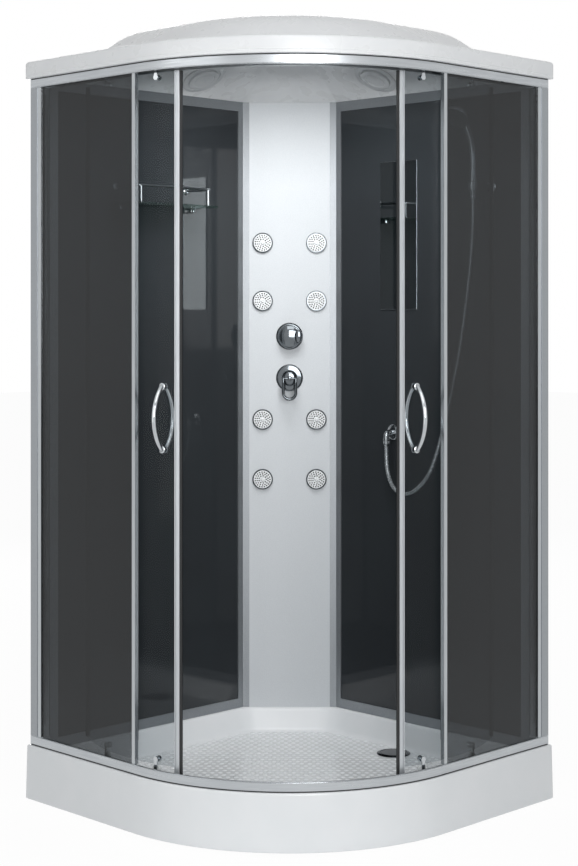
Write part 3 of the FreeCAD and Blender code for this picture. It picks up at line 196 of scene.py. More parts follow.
materials = {
    # cast sanitary acrylic, polished: clean gloss, faintly cool, with slow waves of the drawn sheet
    "white_acrylic": makeSurface("whiteAcrylic", "#e9ebed", "#e5e8ea", 110, (0.14, 0.2), 0.012, IOR=1.49),
    # vacuum-formed ABS: a little softer gloss than acrylic
    "white_abs": makeSurface("whiteAbs", "#e9ebec", "#e6e8ea", 45, (0.26, 0.3), 0.0, IOR=1.54),
    "light_abs": makeSurface("lightAbs", "#cfd2d4", "#cbced1", 12, (0.3, 0.36), 0.003, IOR=1.54),
    # satin anodised aluminium: etched, so an even grey sheen without lines
    "satin_aluminium": makeSurface("satinAluminium", "#9da1a5", "#95999d", 3, (0.36, 0.42), 0.003, Metallic=0.7),
    # polished aluminium: brighter, with soft mirror streaks
    "bright_aluminium": makeSurface("brightAluminium", "#b4b8bb", "#a9adb0", 3, (0.14, 0.22), 0.003, (1, 1, 0.04),
                                    Metallic=1.0),
    "door_aluminium": makeSurface("doorAluminium", "#c3c7ca", "#b6babe", 3, (0.3, 0.4), 0.003, (1, 1, 0.04),
                                  Metallic=0.6),
    # smoked toughened glass: takes four fifths of the light, and shines faintly
    "smoked_glass": makeGlass("smokedGlass", "#f1f4f6", "#171a1c", 0.5, 0.05),
    # lightly tinted toughened glass in the doors
    "door_glass": makeGlass("doorGlass", "#f8fafb", "#171a1c", 0.1, 0.05),
    "shelf_glass": makeGlass("shelfGlass", "#eaf4f1", "#2c3835", 0.3, 0.03),
    # float glass painted black on its back: deep even dark under a hard gloss
    "black_glass": makeSurface("blackGlass", "#303437", "#2e3134", 300, (0.03, 0.045), 0.0, IOR=1.5),
    # satin silver paint on sheet metal: pale, with the fine sparkle of its flake, drawn coarser than its 0.1 mm
    "silver_panel": makeSurface("silverPanel", "#cdd1d4", "#c5c9cd", 2.2, (0.46, 0.54), 0.004, Metallic=0.12),
    "mirror_glass": makeSurface("mirrorGlass", "#a9adae", "#a5a9aa", 200, (0.01, 0.02), 0.0, Metallic=1.0),
    "black_rubber": makeSurface("blackRubber", "#1b1c1d", "#232425", 2, (0.55, 0.7), 0.03, IOR=1.52),
    "black_magnet_strip": makeSurface("blackMagnetStrip", "#191a1b", "#202122", 3, (0.4, 0.5), 0.02, IOR=1.52),
    "grey_plastic": makeSurface("greyPlastic", "#8d9194", "#858a8d", 6, (0.4, 0.5), 0.03, IOR=1.5),
    # galvanised steel: dull zinc with its spangle
    "galvanised_steel": makeSurface("galvanisedSteel", "#a3a7a9", "#8b9093", 14, (0.35, 0.55), 0.02, Metallic=1.0),
    "brass": makeSurface("brass", "#b8995a", "#a98a4e", 8, (0.28, 0.4), 0.02, Metallic=1.0),
    # white moulded spray face, satin
    "white_jet_face": makeSurface("whiteJetFace", "#e8eaeb", "#e0e3e5", 5, (0.3, 0.4), 0.02, IOR=1.5),
    # smooth silver plastic hose: a clear skin over a silver wrap
    "hose_plastic": makeSurface("hosePlastic", "#8f9497", "#a4a9ac", 4, (0.2, 0.3), 0.02, Metallic=0.6),
    "roller_plastic": makeSurface("rollerPlastic", "#c9cccd", "#bfc3c4", 3, (0.35, 0.45), 0.02, IOR=1.5),
    # chrome plate: near mirror, a hair of haze from wiping
    "chrome": makeSurface("chrome", "#bcc0c3", "#b4b8bb", 25, (0.04, 0.09), 0.0, Metallic=1.0),
}
# the same chrome made darker on the valves and jet rings, and darker still on the drain cover: painted shade standing
# in for the dark surroundings these parts reflect
paintedShadeChrome = makeSurface("paintedShadeChrome", "#6d7276", "#666b6f", 25, (0.05, 0.1), 0.0, Metallic=1.0)
# the drain cover's chrome, darkened to near black: painted shade of the dark surroundings it reflects
paintedDarkShadeChrome = makeSurface("paintedDarkShadeChrome", "#3c4043", "#36393c", 25, (0.08, 0.14), 0.0, Metallic=1.0)
# painted shade on the walls of each spray hole, standing in for the dark that falls inside the hole
paintedHoleShade = makeSurface("paintedHoleShade", "#2a2c2e", "#202224", 2, (0.6, 0.7), 0.0, IOR=1.5)

slotOf = {}
for name, obj in frame["nodes"].items():
    for holder in obj.material_slots:
        slotOf[name] = holder.material.name.split(".")[0]
        holder.material = materials[slotOf[name]]
# the same aluminium where the profile lies: its drawn lines run along the rail
railAluminium = makeSurface("railAluminium", "#b9bdc0", "#adb1b5", 3, (0.26, 0.36), 0.004, (0.04, 0.04, 1),
                            Metallic=1.0)
for name in ("bottom_rail", "top_rail"):
    for holder in frame["nodes"][name].material_slots:
        holder.material = railAluminium
print("materials ready:", len(materials))


# shapes
def addRings(bm, rings):
    # a closed shape through rings of equal count
    rows = [[bm.verts.new(p) for p in ring] for ring in rings]
    count = len(rows[0])
    for a, b in zip(rows, rows[1:]):
        for i in range(count):
            j = (i + 1) % count
            bm.faces.new((a[i], a[j], b[j], b[i]))
    bm.faces.new(rows[0][::-1])
    bm.faces.new(rows[-1])


def addLathe(bm, profile, place, steps=48, joined=False):
    # profile: (radius, height) along the local Z axis; a radius of 0 closes it in one point, joined makes it a ring
    rows = []
    for radius, height in profile:
        if radius < 1e-6:
            rows.append([bm.verts.new(place @ Vector((0, 0, height)))])
            continue
        rows.append([bm.verts.new(place @ Vector((radius * math.cos(a), radius * math.sin(a), height)))
                     for a in (2 * math.pi * i / steps for i in range(steps))])
    pairs = list(zip(rows, rows[1:])) + ([(rows[-1], rows[0])] if joined else [])
    for a, b in pairs:
        for i in range(steps):
            j = (i + 1) % steps
            corners = [a[i % len(a)], a[j % len(a)], b[j % len(b)], b[i % len(b)]]
            corners = [c for k, c in enumerate(corners) if c not in corners[:k]]
            if len(corners) > 2:
                bm.faces.new(corners)
    if not joined:
        if len(rows[0]) > 1:
            bm.faces.new(rows[0][::-1])
        if len(rows[-1]) > 1:
            bm.faces.new(rows[-1])


def addTube(bm, points, radii, steps=20, roundEnds=False, flat=1.0, wide=None):
    # flat and wide: the section is flat times as thick along the direction wide
    points = [Vector(p) for p in points]
    radii = list(radii) if hasattr(radii, "__len__") else [radii] * len(points)
    ways = [(points[min(i + 1, len(points) - 1)] - points[max(i - 1, 0)]).normalized() for i in range(len(points))]
    if roundEnds:
        turns = [math.radians(a) for a in (80, 60, 40, 20)]
        head = [(points[0] - ways[0] * radii[0] * math.sin(a), radii[0] * math.cos(a), ways[0]) for a in turns]
        tail = [(points[-1] + ways[-1] * radii[-1] * math.sin(a), radii[-1] * math.cos(a), ways[-1])
                for a in turns[::-1]]
    else:
        head, tail = [], []
    normal = Vector(wide) if wide else ways[0].orthogonal()
    rings = []
    for p, r, way in head + list(zip(points, radii, ways)) + tail:
        normal = (normal - way * normal.dot(way)).normalized()
        side = way.cross(normal)
        rings.append([p + normal * (r * flat * math.cos(a)) + side * (r * math.sin(a))
                      for a in (2 * math.pi * i / steps for i in range(steps))])
    addRings(bm, rings)


def addBox(bm, low, high, place=None, edge=1.0, segments=2):
    new = bmesh.ops.create_cube(bm, size=1.0)["verts"]
    for v in new:
        v.co = Vector([low[k] if v.co[k] < 0 else high[k] for k in range(3)])
    edges = list({e for v in new for e in v.link_edges})
    made = bmesh.ops.bevel(bm, geom=edges, offset=edge, segments=segments, profile=0.5, affect="EDGES")
    new = list({v for f in made["faces"] for v in f.verts} | {v for v in new if v.is_valid})
    if place is not None:
        for v in new:
            v.co = place @ v.co


def arcPoints(centre, first, second, radius, start, end, count):
    # part of a circle in the plane of the directions first and second
    angles = [math.radians(start + (end - start) * i / (count - 1)) for i in range(count)]
    return [Vector(centre) + Vector(first) * (radius * math.cos(a)) + Vector(second) * (radius * math.sin(a))
            for a in angles]


def along(base, way, across=None):
    # a place whose local Z is way
    way = Vector(way).normalized()
    across = Vector(across).normalized() if across else way.orthogonal().normalized()
    place = Matrix((across, way.cross(across), way)).transposed().to_4x4()
    place.translation = Vector(base)
    return place


def toObject(name, bm, sharp=38.0):
    bmesh.ops.remove_doubles(bm, verts=bm.verts, dist=1e-4)
    bmesh.ops.recalc_face_normals(bm, faces=bm.faces)
    bmesh.ops.scale(bm, vec=(mm, mm, mm), verts=bm.verts)
    for face in bm.faces:
        face.smooth = True
    for edge in bm.edges:
        edge.smooth = len(edge.link_faces) == 2 and edge.calc_face_angle(0) < math.radians(sharp)
    mesh = bpy.data.meshes.new(name)
    bm.to_mesh(mesh)
    bm.free()
    obj = bpy.data.objects.new(name, mesh)
    scene.collection.objects.link(obj)
    return obj


def finishPiece(obj, nodes, finish=None):
    # the piece takes its finish and its body from the first node that it stands for
    bodies = {n: b for b, names in frame["record"]["behaviour"]["bodies"].items() for n in names}
    if not len(obj.data.materials):
        obj.data.materials.append(finish or materials[slotOf[nodes[0]]])
    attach(obj, bodies[nodes[0]])
    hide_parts(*nodes)
    return obj


def carve(obj, cutters, sharp=38.0, joining=False):
    for cutter in cutters:
        change = obj.modifiers.new("carve", "BOOLEAN")
        change.operation = "UNION" if joining else "DIFFERENCE"
        change.solver = "EXACT"
        change.object = cutter
    shaped = bpy.data.meshes.new_from_object(obj.evaluated_get(bpy.context.evaluated_depsgraph_get()))
    obj.modifiers.clear()
    obj.data = shaped
    bm = bmesh.new()
    bm.from_mesh(shaped)
    for face in bm.faces:
        face.smooth = True
    for edge in bm.edges:
        edge.smooth = len(edge.link_faces) == 2 and edge.calc_face_angle(0) < math.radians(sharp)
    bm.to_mesh(shaped)
    bm.free()
    for cutter in cutters:
        bpy.data.objects.remove(cutter)


plan = {"half": 500, "corner": 550, "cut": 30, "arcSteps": 56, "cornerSteps": 6}
# mirrors the cabin's left half to its right half
otherHalf = Matrix(((0, -1, 0, 0), (-1, 0, 0, 0), (0, 0, 1, 0), (0, 0, 0, 1)))


def planLoop(front, wall, cut, z, fillet=4.0):
    # the cabin's outline: front faces set in by front, back faces by wall, back corner cut by a leg of cut
    side, back, middle = plan["half"] - front, plan["half"] - wall, plan["half"] - plan["corner"]
    radius = plan["corner"] - front
    corners = {"nearLeft": ((middle, -side), (-back, -side), (-back, back - cut)),
               "nearRight": ((side, -middle), (side, back), (cut - back, back)),
               "cutRight": ((side, back), (cut - back, back), (-back, back - cut)),
               "cutLeft": ((cut - back, back), (-back, back - cut), (-back, -side))}

    def rounded(before, corner, after):
        before, corner, after = (Vector(p) for p in (before, corner, after))
        reach = min(fillet, 0.4 * (before - corner).length, 0.4 * (after - corner).length)
        a, b = corner + (before - corner).normalized() * reach, corner + (after - corner).normalized() * reach
        steps = [i / (plan["cornerSteps"] - 1) for i in range(plan["cornerSteps"])]
        return [a * (1 - t) ** 2 + corner * (2 * t * (1 - t)) + b * t ** 2 for t in steps]

    before, corner, after = corners["nearLeft"]
    points = rounded(after, corner, before)
    for i in range(plan["arcSteps"] + 1):
        a = math.radians(-90 + 90 * i / plan["arcSteps"])
        points.append(Vector((middle + radius * math.cos(a), -middle + radius * math.sin(a))))
    for name in ("nearRight", "cutRight", "cutLeft"):
        points += rounded(*corners[name])
    return [Vector((p.x, p.y, z)) for p in points]


columnFace = -511.538  # d of the column's face


def columnPlace(u, height, depth=0.0):
    d = columnFace + depth
    base = ((u + d) / root2, (u - d) / root2, height)
    return along(base, (1, -1, 0), (1, 1, 0))


# hose and its two nuts
hoseSet = {"diameter": 11, "length": 1086, "nutRadius": 8.5, "nutLength": 16, "flutes": 20, "flute": 0.45,
           "outlet": (-39, 433, 939), "handset": (320, 386, 1610)}
hosePoints = [
    (-0.039, 0.433, 0.923), (-0.039, 0.433, 0.884), (-0.028, 0.427, 0.842), (0, 0.416, 0.808), (0.036, 0.406, 0.793),
    (0.072, 0.400, 0.794), (0.107, 0.396, 0.809), (0.149, 0.394, 0.845), (0.177, 0.392, 0.893),
    (0.2005, 0.391, 0.956), (0.226, 0.390, 1.035), (0.248, 0.389, 1.110), (0.2665, 0.388, 1.185),
    (0.2825, 0.387, 1.260), (0.296, 0.386, 1.335), (0.307, 0.386, 1.410), (0.315, 0.386, 1.480),
    (0.320, 0.386, 1.548), (0.320, 0.386, 1.610)]

curve = bpy.data.curves.new("hose", "CURVE")
curve.dimensions = "3D"
curve.bevel_depth = hoseSet["diameter"] / 2 * mm
curve.bevel_resolution = 6
curve.resolution_u = 16
curve.use_fill_caps = True
spline = curve.splines.new("NURBS")
spline.points.add(len(hosePoints) - 1)
for point, co in zip(spline.points, hosePoints):
    point.co = (*co, 1)
spline.order_u = 3
spline.use_endpoint_u = True
hose = bpy.data.objects.new("showerHose", curve)
scene.collection.objects.link(hose)
finishPiece(hose, ["shower_hose"])

r, tall = hoseSet["nutRadius"], hoseSet["nutLength"]
for name, node, place in (
        ("hoseNutOutlet", "hose_nut_outlet", along(hoseSet["outlet"], (0, 0, -1))),
        ("hoseNutHandset", "hose_nut_handset", along(hoseSet["handset"], (0, 0, 1)))):
    bm = bmesh.new()
    low, high = (0, tall) if name == "hoseNutOutlet" else (tall, 0)
    step = (high - low) / tall
    outer = [(r * 0.9, 0), (r, 0.9), (r, 9.5), (r * 0.93, 10.5), (r * 0.78, 15.3), (r * 0.7, 16)]
    addLathe(bm, [(rad, low + step * h) for rad, h in outer], place, 40)
    for i in range(hoseSet["flutes"]):  # grip for the fingers
        a = 2 * math.pi * i / hoseSet["flutes"]
        at = [place @ Vector((r * math.cos(a) * 0.985, r * math.sin(a) * 0.985, low + step * h)) for h in (1.6, 9)]
        addTube(bm, at, hoseSet["flute"], 6)
    finishPiece(toObject(name, bm), [node])
print("hose ready")

# tray
traySet = {"foot": 4, "rim": 147, "ledge": 131, "floor": 65, "sheet": 6, "flare": 2.5,
           "basin": (62.5, 52, 189.55), "basinCorner": 45,
           "drain": (48, 366), "drainHole": 42.3, "pipeHole": 17, "pipeHeight": 39,
           "bumpRadius": 7.8, "bumpHeight": 2.6, "bumpAlong": 22, "bumpRow": 23, "bumpMargin": 14,
           "coverReach": 51.5}


def basinRing(a, z):
    # a: how far in from the basin's upper edge at the walls; the front leans more, the cut corner as much
    front, wall, cut = traySet["basin"]
    return planLoop(front + a * 26 / 22, wall + a, cut - 0.586 * a, z, traySet["basinCorner"])


def makeTray():
    s = traySet
    bm = bmesh.new()
    addRings(bm, [planLoop(i, i, plan["cut"], z, 9) for i, z in (
        (-s["flare"] + 1, s["foot"]), (-s["flare"], s["foot"] + 1.2), (-1.2, 80), (0, s["rim"] - 4.5),
        (0.5, s["rim"] - 2.4), (1.8, s["rim"] - 0.8), (3.8, s["rim"] - 0.1), (5, s["rim"]))])
    tray = toObject("tray", bm)
    tray.data.materials.append(materials["white_acrylic"])
    cutters = []
    bm = bmesh.new()
    addRings(bm, [planLoop(48.5, -6, 20, z, 2) for z in (s["ledge"], s["rim"] + 3)])
    cutters.append(toObject("ledgeCut", bm))
    bm = bmesh.new()
    addRings(bm, [basinRing(a, s["floor"] + h) for a, h in (
        (38, 0), (33, 0.3), (28, 1.6), (24, 4.2), (21, 8), (19, 13), (9, 40), (2.2, 58), (0.6, 62), (-1.4, 64.6),
        (-4, 65.8), (-5.5, 66.5))])
    cutters.append(toObject("basinCut", bm))
    bm = bmesh.new()
    addRings(bm, [planLoop(3.5, 3.5, 24, 2, 6), planLoop(6, 6, 24, s["floor"] - s["sheet"], 6)])
    cutters.append(toObject("underCut", bm))
    bm = bmesh.new()
    x, y = s["drain"]
    addLathe(bm, [(s["drainHole"], 0), (s["drainHole"], 20)], along((x, y, 50), (0, 0, 1)), 64)
    cutters.append(toObject("drainCut", bm))
    bm = bmesh.new()
    addLathe(bm, [(s["pipeHole"], 0), (s["pipeHole"], 50)], along((x, 520, s["pipeHeight"]), (0, -1, 0)), 48)
    cutters.append(toObject("pipeCut", bm))
    carve(tray, cutters)
    # raised dots of the basin's foothold
    outline = [p.xy for p in basinRing(22 + s["bumpMargin"] * 0.6, 0)]

    def inside(p):
        hit = False
        for a, b in zip(outline, outline[1:] + outline[:1]):
            if (a.y > p.y) != (b.y > p.y) and p.x < (b.x - a.x) * (p.y - a.y) / (b.y - a.y) + a.x:
                hit = not hit
        return hit

    bm = bmesh.new()
    bm.from_mesh(tray.data)
    rise = s["bumpHeight"]
    shape = [(s["bumpRadius"], -1), (s["bumpRadius"], 0.05), (s["bumpRadius"] * 0.86, rise * 0.4),
             (s["bumpRadius"] * 0.6, rise * 0.8), (s["bumpRadius"] * 0.3, rise * 0.97), (0, rise)]
    count = 0
    for row in range(-30, 31):
        for col in range(-30, 31):
            d = row * s["bumpRow"]
            u = (col + (0.5 if row % 2 else 0)) * s["bumpAlong"]
            p = Vector(((u + d) / root2, (u - d) / root2))
            if inside(p) and (p - Vector(s["drain"])).length > s["coverReach"] + s["bumpRadius"]:
                place = Matrix.Translation((p.x * mm, p.y * mm, s["floor"] * mm)) @ Matrix.Scale(mm, 4)
                before = len(bm.faces)
                addLathe(bm, shape, place, 12)
                bm.faces.ensure_lookup_table()
                for face in bm.faces[before:]:
                    face.smooth = True
                count += 1
    bm.to_mesh(tray.data)
    bm.free()
    finishPiece(tray, ["tray"])
    print("tray ready, foothold dots:", count)


makeTray()

# bright beads on the rails' lips, and thin black lines against tray and roof: painted shade standing in for the
# shadow gaps at the rails' foot and top
railSet = {"out": 541.8, "end": 486, "bead": 1.3,
           "lines": (("bottomRailBead", 170.3, "bright_aluminium"), ("bottomRailShadeLine", 148.4, "black_rubber"),
                     ("topRailBead", 1909.7, "bright_aluminium"), ("topRailShadeLine", 1931.6, "black_rubber"))}


def makeRailLines():
    s = railSet
    for name, height, finish in s["lines"]:
        bm = bmesh.new()
        path = [(-s["end"], 50 - s["out"], height)]
        path += arcPoints((-50, 50, height), (1, 0, 0), (0, 1, 0), s["out"], -90, 0, 61)
        path += [(s["out"] - 50, s["end"], height)]
        addTube(bm, path, s["bead"], 10, wide=(0, 0, 1))
        line = toObject(name, bm)
        line.data.materials.append(materials[finish])
        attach(line, [b for b, names in frame["record"]["behaviour"]["bodies"].items() if "bottom_rail" in names][0])


makeRailLines()

# roof
roofSet = {"low": 1933, "fascia": 1979, "over": 3.5,
           "dome": ((104, 1979), (109, 1979.5), (114, 1981.6), (120, 1986.6), (130, 1997.6), (142, 2011), (154, 2024),
                    (165, 2035), (176, 2044), (187, 2050.6), (200, 2055.6), (218, 2060), (245, 2063.8), (290, 2067.6),
                    (340, 2069.6), (400, 2070)),
           "vault": ((335, 2064), (300, 2058), (262, 2047.5), (240, 2040)),
           "widen": 30, "domeCorner": 16,
           "ceiling": (238.5, 230, 85.27, 2040), "ceilingFoot": (48.5, 40, 196.58)}


def makeRoof():
    s = roofSet
    low, top, over = s["low"], s["fascia"], -s["over"]
    rings = [planLoop(i, i, 60, z, 14) for i, z in s["vault"]]
    front, wall, cut = s["ceilingFoot"]
    rings += [planLoop(*s["ceiling"], 5), planLoop(front, wall, cut, low + 0.6, 5),
              planLoop(front - 1, wall - 1, cut + 0.6, low, 5), planLoop(over + 2, over + 2, plan["cut"], low, 9)]
    rings += [planLoop(i, i, plan["cut"], z, 11) for i, z in (
        (over + 0.6, low + 0.6), (over, low + 2.2), (over, low + 7), (over + 0.7, low + 7.8), (over + 0.7, low + 9),
        (over, low + 9.8), (over, top - 9), (over + 0.8, top - 5), (over + 3, top - 2), (over + 6.5, top - 0.4),
        (over + 11, top))]
    # inwards, the dome's rings get a deeper cut and rounder corners
    start, widen = s["dome"][0][0], s["widen"]
    rings += [planLoop(i, i, plan["cut"] + widen * min(1, (i - start) / widen), z, s["domeCorner"] + (i - start) / 2)
              for i, z in s["dome"]]
    bm = bmesh.new()
    addRings(bm, rings)
    finishPiece(toObject("roof", bm, 32), ["roof"])
    print("roof ready")


makeRoof()

# ceiling discs
discSet = {"base": (-385, 37, 1975.2), "lean": 150.61, "ring": 63, "middle": 44, "sheet": 3, "height": 8}


def makeCeilingDiscs():
    s = discSet
    bm = bmesh.new()
    tilt = Matrix.Rotation(math.radians(s["lean"]), 4, "Y")
    ring, sheet, middle, high = s["ring"], s["sheet"], s["middle"], s["height"]
    shape = [(0, 0), (ring - 0.6, 0), (ring, 0.8), (ring, sheet - 0.8), (ring - 1.2, sheet), (middle + 7, sheet),
             (middle + 5.5, sheet - 2.4), (middle, sheet - 2.4), (middle, high - 2.2), (middle - 0.9, high - 0.7),
             (middle - 3, high), (middle - 12, high), (middle - 13, high - 1), (middle - 15, high - 1),
             (middle - 16, high), (0, high)]
    place = Matrix.Translation(s["base"]) @ tilt
    addLathe(bm, shape, place, 72)
    addLathe(bm, shape, otherHalf @ place, 72)
    finishPiece(toObject("ceilingDiscs", bm), ["ceiling_discs"])


makeCeilingDiscs()

# body jets
jetSet = {"side": 80, "rows": (810, 988, 1341, 1514), "collar": 30.5, "ring": 2.5, "rim": 7, "plate": 2,
          "face": 26.6, "pivot": 8, "sheet": 4.5, "ball": 8.2, "tail": 10, "port": 6,
          "holeRings": ((10.8, 9), (16.4, 14), (22, 19)), "hole": 2.1, "holeDepth": 2.4,
          "nozzle": ((6.2, 0), (5.8, 1.2), (4.6, 2.9), (3.6, 3.5), (2.2, 3.5), (1.8, 2.2), (0, 2.2))}
jetSpots = [(side * jetSet["side"], row) for side in (-1, 1) for row in jetSet["rows"]]


def makeJets():
    s = jetSet
    bm = bmesh.new()
    inner = s["collar"] - s["ring"]
    shape = [(s["port"], -30), (s["tail"], -30), (s["tail"], -0.2), (s["collar"] - 0.8, 0), (s["collar"], 0.8),
             (s["collar"], s["rim"] - 2), (s["collar"] - 0.5, s["rim"] - 0.8), (s["collar"] - 1.5, s["rim"]),
             (inner + 0.8, s["rim"]), (inner + 0.2, s["rim"] - 0.6), (inner, s["rim"] - 1.6), (inner, s["plate"]),
             (s["port"], s["plate"])]
    for u, height in jetSpots:
        place = columnPlace(u, height)
        addLathe(bm, shape, place, 64, joined=True)
        lockNut = [(s["tail"], -4), (s["tail"] + 7, -4.6), (s["tail"] + 7, -9.4), (s["tail"], -10)]
        addLathe(bm, lockNut, place, 6, joined=True)
    finishPiece(toObject("jetCollars", bm, 30), ["jet_collars"], paintedShadeChrome)
    back = s["pivot"] - s["sheet"] / 2
    front = back + s["sheet"]
    disc = [(0, back), (s["face"] - 0.6, back), (s["face"], back + 0.6), (s["face"], front - 0.8),
            (s["face"] - 0.8, front), (s["face"] - 2, front + 0.1), (7.6, front + 0.1), (6.4, front - 0.5)]
    disc += [(radius, front + h) for radius, h in s["nozzle"]]
    ball = [(s["ball"] * math.sin(math.radians(a)), s["pivot"] - s["ball"] * math.cos(math.radians(a)))
            for a in (0, 15, 30, 45, 60, 75)] + [(0, s["pivot"] - 1)]
    for i, (u, height) in enumerate(jetSpots, start=1):
        place = columnPlace(u, height)
        bm = bmesh.new()
        addLathe(bm, disc, place, 64)
        head = toObject(f"jetHead{i}", bm, 30)
        for finish in (materials["white_jet_face"], paintedHoleShade):
            head.data.materials.append(finish)
        bm = bmesh.new()
        for ring, (radius, count) in enumerate(s["holeRings"]):
            for k in range(count):
                a = 2 * math.pi * (k + 0.5 * (ring % 2)) / count
                at = place @ Matrix.Translation((radius * math.cos(a), radius * math.sin(a), front - s["holeDepth"]))
                addLathe(bm, [(s["hole"], 0), (s["hole"], s["holeDepth"] + 1)], at, 10)
        holes = toObject("sprayHoles", bm)
        for finish in (materials["white_jet_face"], paintedHoleShade):
            holes.data.materials.append(finish)
        # the hole walls take the painted hole shade
        for face in holes.data.polygons:
            face.material_index = 1
        carve(head, [holes], 30)
        bm = bmesh.new()
        bm.from_mesh(head.data)
        before = len(bm.faces)
        addLathe(bm, ball, Matrix.Scale(mm, 4) @ place, 24)
        bm.faces.ensure_lookup_table()
        for face in bm.faces[before:]:
            face.smooth = True
        bm.to_mesh(head.data)
        bm.free()
        finishPiece(head, [f"jet_head_{i}"])
    print("jets ready")


makeJets()

# valves: plates, diverter knob, mixer dome and lever
valveSet = {"diverter": 1236, "mixer": 1112, "plate": 40, "plateSheet": 4, "neck": 16, "neckBack": 28, "gap": 0.3,
            "knob": 34, "knobHeight": 24, "crown": 3, "bevel": 7,
            "lobeAt": 26.5, "lobeWide": 12, "lobeTall": 20, "lobeHigh": 37,
            "dome": 24, "domeHeight": 30, "domeCrown": 5, "stand": 46, "lugHalf": 5, "lugSide": 7,
            "leverHalf": 18.5, "leverRod": 4.5, "leverDrop": 43, "pin": 3}


def makeValves():
    s = valveSet
    bm = bmesh.new()
    wide = s["plate"]
    plate = [(0, -s["neckBack"]), (s["neck"], -s["neckBack"]), (s["neck"], -0.2), (wide - 0.5, 0), (wide, 0.6),
             (wide, 1.6), (wide - 1.2, 2.7), (wide - 4, 3.5), (wide - 8, s["plateSheet"]), (0, s["plateSheet"])]
    for height in (s["diverter"], s["mixer"]):
        addLathe(bm, plate, columnPlace(0, height), 96)
    finishPiece(toObject("valvePlates", bm, 50), ["valve_plates"], paintedShadeChrome)

    place = columnPlace(0, s["diverter"])
    base = s["plateSheet"] + s["gap"]
    top = base + s["knobHeight"]
    bm = bmesh.new()
    wide, face = s["knob"], top + s["crown"]
    addLathe(bm, [(0, base), (wide - 1.6, base), (wide - 0.8, base + 0.8), (wide, base + 4), (wide, top - 2),
                  (wide - 0.7, top - 0.4), (wide - 2.4, top + 1.6), (wide - s["bevel"] + 1.2, face - 0.9),
                  (wide - s["bevel"] - 0.6, face), (8, face + 0.9), (0, face + 1.1)], place, 72)
    knob = toObject("diverterKnob", bm, 24)
    bm = bmesh.new()  # the oval lobe for the thumb
    oval = place @ Matrix.Translation((s["lobeAt"], 0, 0)) @ Matrix.Diagonal((s["lobeWide"], s["lobeTall"], 1, 1))
    lobe = s["lobeHigh"]
    addLathe(bm, [(0.7, base + 9), (0.93, base + 12), (1, base + 17), (1, lobe - 7), (0.96, lobe - 4),
                  (0.84, lobe - 1.6), (0.6, lobe - 0.3), (0, lobe)], oval, 56)
    carve(knob, [toObject("lobe", bm)], 24, joining=True)
    finishPiece(knob, ["diverter_knob"], paintedShadeChrome)

    place = columnPlace(0, s["mixer"])
    top = base + s["domeHeight"]
    bm = bmesh.new()
    wide = s["dome"]
    addLathe(bm, [(0, base), (wide - 1, base), (wide, base + 1), (wide, top - 3), (wide - 0.8, top - 0.5),
                  (wide - 3, top + 1.8), (wide - 6, top + 3.4), (wide - 10, top + 4.5), (8, top + 4.9),
                  (0, top + s["domeCrown"])], place, 72)
    dome = toObject("mixerDome", bm, 40)
    bm = bmesh.new()
    addBox(bm, (-s["lugHalf"], -s["lugSide"], base + 4), (s["lugHalf"], s["lugSide"], s["stand"] + 6), place, 2.2, 4)
    carve(dome, [toObject("lug", bm)], 40, joining=True)
    bm = bmesh.new()
    addLathe(bm, [(s["pin"] + 0.05, -20), (s["pin"] + 0.05, 20)],
             place @ along((0, 0, s["stand"]), (1, 0, 0)), 24)
    carve(dome, [toObject("eye", bm)], 40)
    finishPiece(dome, ["mixer_dome"], paintedShadeChrome)

    bm = bmesh.new()
    z, x, drop = s["stand"], s["leverHalf"], s["leverDrop"]
    path = [(-x, 0, z), (-x, -drop * 0.35, z), (-x, -drop * 0.7, z)]
    path += arcPoints((0, -drop, z), (1, 0, 0), (0, 1, 0), x, 180, 360, 25)
    path += [(x, -drop * 0.7, z), (x, -drop * 0.35, z), (x, 0, z)]
    addTube(bm, [place @ Vector(p) for p in path], s["leverRod"], 24, roundEnds=True)
    addTube(bm, [place @ Vector((a, 0, z)) for a in (-x, x)], s["pin"], 20)
    finishPiece(toObject("mixerLever", bm), ["mixer_lever"], paintedShadeChrome)
    print("valves ready")


makeValves()

# doors: places on the open door, handles and rollers
doorSet = {"centre": (-50, 50, 0), "pole": (-91.0499, 158.7312, 0), "swing": 25.793, "inner": 512, "outer": 518,
           "handleAt": 38.77, "handleLow": 965, "handleHigh": 1122, "bow": 32, "rod": 5.2, "boss": 9, "bossHeight": 5,
           "bolt": 4, "leadAt": 43.632, "leadLow": 160, "leadHigh": 1907, "leadMiddle": 515,
           "rollerAt": (36.467, 14.467), "rollerIn": 510.5, "rollerWidth": 7, "bore": 3.05,
           "rollers": {"bottom": (12, 165.5), "top": (9, 1920.3)}}


def doorPlace(angle, side):
    s = doorSet
    pole, centre = Matrix.Translation(s["pole"]), Matrix.Translation(s["centre"])
    turned = pole @ Matrix.Rotation(math.radians(-s["swing"]), 4, "Z") @ pole.inverted()
    place = turned @ centre @ Matrix.Rotation(math.radians(angle), 4, "Z")
    return place if side == "left" else otherHalf @ place


